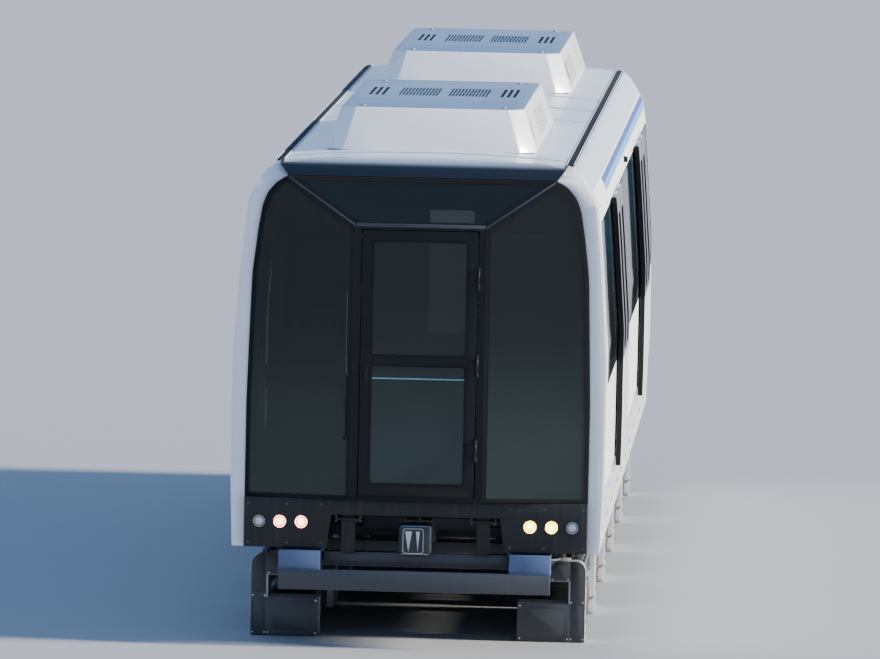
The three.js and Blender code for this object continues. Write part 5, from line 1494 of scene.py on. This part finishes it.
def makeBench(place, x0, x1, count, name, side):
    shell, pads = bmesh.new(), bmesh.new()
    depth, low, seat, thick, high, crown, end = [*benchPlan.values()][1:]
    back, front = benchBack, benchBack - depth
    addBox(shell, (x0, front + 0.015, low), (x1, back, low + 0.035), 0, 0.008)
    addBox(shell, (x0 + 0.06, back - 0.26, bodyLook["floor"] + 0.0004), (x1 - 0.06, back - 0.02, low + 0.002),
           0, 0.01)
    addBox(shell, (x0, back - 0.03, low), (x1, back, high - 0.01), 0, 0.008)
    for x in (x0, x1 - end):
        addBox(shell, (x, front + 0.03, low), (x + end, back, high), 0, 0.012)
    pitch = (x1 - x0 - 0.07) / count
    for a in (x0 + 0.035 + k * pitch for k in range(count)):
        b = a + pitch - 0.003
        addCushion(pads, (a + 0.003, front + 0.002, low + 0.034), (b, back - 0.1, seat), 2, crown)
        addCushion(pads, (a + 0.003, back - thick, seat - 0.02), (b, back - 0.029, high - 0.004), 1, -crown)
    acrossTo(shell, side)
    acrossTo(pads, side)
    finishPiece("bench" + place + name, shell, [lining],
                [("bench_%s_%s" % (place, name)).lower()])
    finishPads("benchPads" + place + name, pads)


railPlan = {"y": 0.76, "z": 3.0, "radius": 0.016, "rear": -6.5, "front": 5.5, "spans": 10, "top": 3.2497}


def makeHandrail(name, side):
    y, z, radius, rear, front, spans, top = railPlan.values()
    bm = bmesh.new()
    addRod(bm, (rear, y, z), (front, y, z), radius, 16)
    cap = [(0, 0.018), (0.01, 0.017), (0.0165, 0.01), (0.018, 0), (0.0165, -0.01), (0.01, -0.017),
           (0, -0.018)]
    for x in (rear, front):
        addTurned(bm, cap, (x, y, z), "x", 16)
    for k in range(spans + 1):
        x = rear + k * (front - rear) / spans
        addRod(bm, (x, y, z), (x, y, top), 0.012, 14)
        addRod(bm, (x, y, top - 0.008), (x, y, top), 0.035, 20, bevel=0.002)
        addRod(bm, (x - 0.025, y, z), (x + 0.025, y, z), radius + 0.002, 16, bevel=0.001)
    acrossTo(bm, side)
    finishPiece("handrail" + name, bm, [stainless], ["handrail_" + name.lower()])


partitionPlan = {"x0": 5.76, "x1": 5.8, "outline": (-1.1, 1.1, bodyLook["floor"] + 0.0003, 3.2),
                 "doorway": (-0.33, 0.33, 1.2, 3.0),
                 "windows": ((-1.0, -0.46, 1.98, 2.85), (0.46, 1.0, 1.98, 2.85))}


def makePartition():
    x0, x1, outline, doorway, windows = partitionPlan.values()
    wall = prism(rectangle(*outline), "x", x0, x1, soften=0.02)
    roundEdges(wall, 0.004, angle=60)
    holes = [prism(rectangle(*hole), "x", x0 - 0.16, x1 + 0.1, soften=radius, steps=4)
             for hole, radius in ((doorway, 0.03), *((window, 0.04) for window in windows))]
    carve(wall, gathered(*holes))
    for y0, y1, z0, z1 in windows:
        pane = rectangle(y0 + 0.001, y1 - 0.001, z0 + 0.001, z1 - 0.001)
        addPrism(wall, pane, "x", x0 + 0.012, x0 + 0.022, 1, soften=0.04, steps=4)
    # door track covers
    for y in (-0.36, 0.36):
        addBox(wall, (x1 - 0.001, y - 0.012, doorway[2]), (x1 + 0.004, y + 0.012, doorway[3]), 2, 0.003)
    finishPiece("cabPartition", wall, [lining, sideGlass, stainless], ["cab_partition"])


def makeDesk():
    bm = bmesh.new()
    x, z = 6.38, 1.83
    addPrism(bm, [(x, 1.75), (6.44, 1.75), (6.72, 1.9), (6.72, 1.96), (x, z)], "y", -1.09, -0.48, 0,
             bevel=0.012)
    addBox(bm, (6.5, -1.06, bodyLook["floor"] + 0.0003), (6.71, -0.52, 1.81), 0, 0.01)
    plane = Matrix.Translation((x, 0, z)) @ Matrix.Rotation(-math.atan2(0.13, 0.34), 4, "Y")
    # three displays, a row of buttons and the master controller
    for y in (-0.97, -0.785, -0.6):
        addBox(bm, (0.13, y - 0.08, -0.002), (0.31, y + 0.08, 0.006), 1, 0.004, matrix=plane)
    addBox(bm, (0.01, -0.70, -0.002), (0.1, -0.56, 0.01), 2, 0.004, matrix=plane)
    rods = [((0.07, k * 0.07 - 1.03, -0.002), (0.07, k * 0.07 - 1.03, 0.008), 0.011, 14,
             3 if k % 3 == 1 else 2)
            for k in range(8)]
    rods += [((0.05, -0.63, 0.0), (0.04, -0.63, 0.075), 0.007, 12, 2),
             ((0.04, -0.66, 0.08), (0.04, -0.60, 0.08), 0.013, 14, 0, None, 0.004)]
    for start, end, *rest in rods:
        addRod(bm, plane @ Vector(start), plane @ Vector(end), *rest)
    finishPiece("driverDesk", bm, [deskPlastic, displayGlass, stainless, seaLed],
                ["driver_desk"])


def makeDriverSeat():
    bm, pads = bmesh.new(), bmesh.new()
    x, y = 6.05, -0.76
    addRod(bm, (x, y, bodyLook["floor"] + 0.0003), (x, y, 1.22), 0.15, 28, 0, bevel=0.008)
    addRod(bm, (x, y, 1.2), (x, y, 1.6), 0.055, 24, 1)
    addRod(bm, (x, y, 1.45), (x, y, 1.58), 0.075, 24, 0, endRadius=0.11)
    addBox(bm, (x - 0.2, y - 0.2, 1.585), (x + 0.19, y + 0.2, 1.615), 0, 0.01)
    addBox(bm, (x - 0.21, y - 0.18, 1.6), (x - 0.185, y + 0.18, 2.27), 0, 0.008)
    for arm in (y - 0.205, y + 0.205):
        addBeam(bm, (x - 0.19, arm, 1.86), (x + 0.1, arm, 1.86), 0.035, 0.03, 0, 0.01)
    finishPiece("driverSeat", bm, [deskPlastic, stainless], ["driver_seat"])
    # seat, back and headrest: rear, front, half width, bottom, top, crowned axis, crown
    for rear, front, half, z0, z1, axis, crown in ((-0.17, 0.208, 0.21, 1.61, 1.70, 2, 0.018),
                                                   (-0.186, -0.12, 0.19, 1.71, 2.12, 0, 0.018),
                                                   (-0.186, -0.125, 0.12, 2.13, 2.295, 0, 0.01)):
        addCushion(pads, (x + rear, y - half, z0), (x + front, y + half, z1), axis, crown)
    finishPads("driverSeatPads", pads)


for name, side in sides:
    for place, span in benchPlan["spans"].items():
        makeBench(place, *span, name, side)
    makeHandrail(name, side)
makePartition()
makeDesk()
makeDriverSeat()

# floor covering inside
floorPlan = {"rear": -6.83, "front": 5.75, "half": 1.235, "low": 1.18, "thick": 0.003}
rear, front, half, low, thick = floorPlan.values()
bm = bmesh.new()
addBox(bm, (rear, -half, low), (front, half, low + thick))
finishPiece("floorCovering", bm, [floorVinyl])
print("inside made")

# Studio: wide grey floor, one broad sun-like lamp from the left side of the car, even sky
studio = {"floorSize": 1600.0, "floorZ": -0.004, "horizon": "#cddef2", "zenith": "#7ba6e2",
          "skyStrength": 1.25, "floor": "#9b9fa3", "floorShade": "#979b9f"}
sun = {"toLamp": (0.03, 0.92, 0.39), "strength": 13.0, "angle": 10.0, "colour": "#fff3e2"}


def makeStudio():
    bm = bmesh.new()
    bmesh.ops.create_grid(bm, x_segments=1, y_segments=1, size=studio["floorSize"] / 2,
                          matrix=Matrix.Translation((0, 0, studio["floorZ"])))
    mesh = bpy.data.meshes.new("studioFloor")
    bm.to_mesh(mesh)
    bm.free()
    mesh.materials.append(surface("studioFloorPaint", studio["floor"], studio["floorShade"], 0.8, patch=6.0,
                                  grain=20, relief=0.1))
    floor = bpy.data.objects.new("studioFloor", mesh)
    scene.collection.objects.link(floor)
    world = bpy.data.worlds.new("studioSky")
    world.use_nodes = True
    tree = world.node_tree
    coords = addNode(tree, "ShaderNodeTexCoord")
    height = addNode(tree, "ShaderNodeSeparateXYZ", {}, {"Vector": (coords, "Generated")})
    share = addNode(tree, "ShaderNodeMapRange", {"From Min": 0.0, "From Max": 0.6}, {"Value": (height, "Z")})
    colours = {"data_type": "RGBA", 6: toLinear(studio["horizon"]), 7: toLinear(studio["zenith"])}
    sky = addNode(tree, "ShaderNodeMix", colours, {"Factor": (share, "Result")})
    background = tree.nodes["Background"]
    tree.links.new(sky.outputs[2], background.inputs["Color"])
    background.inputs["Strength"].default_value = studio["skyStrength"]
    scene.world = world


def makeSun():
    data = bpy.data.lights.new("studioSun", "SUN")
    data.energy = sun["strength"]
    data.angle = math.radians(sun["angle"])
    data.color = toLinear(sun["colour"])[:3]
    lamp = bpy.data.objects.new("studioSun", data)
    lamp.matrix_world = Vector(sun["toLamp"]).to_track_quat("Z", "Y").to_matrix().to_4x4()
    scene.collection.objects.link(lamp)


makeStudio()
makeSun()
print("studio made")
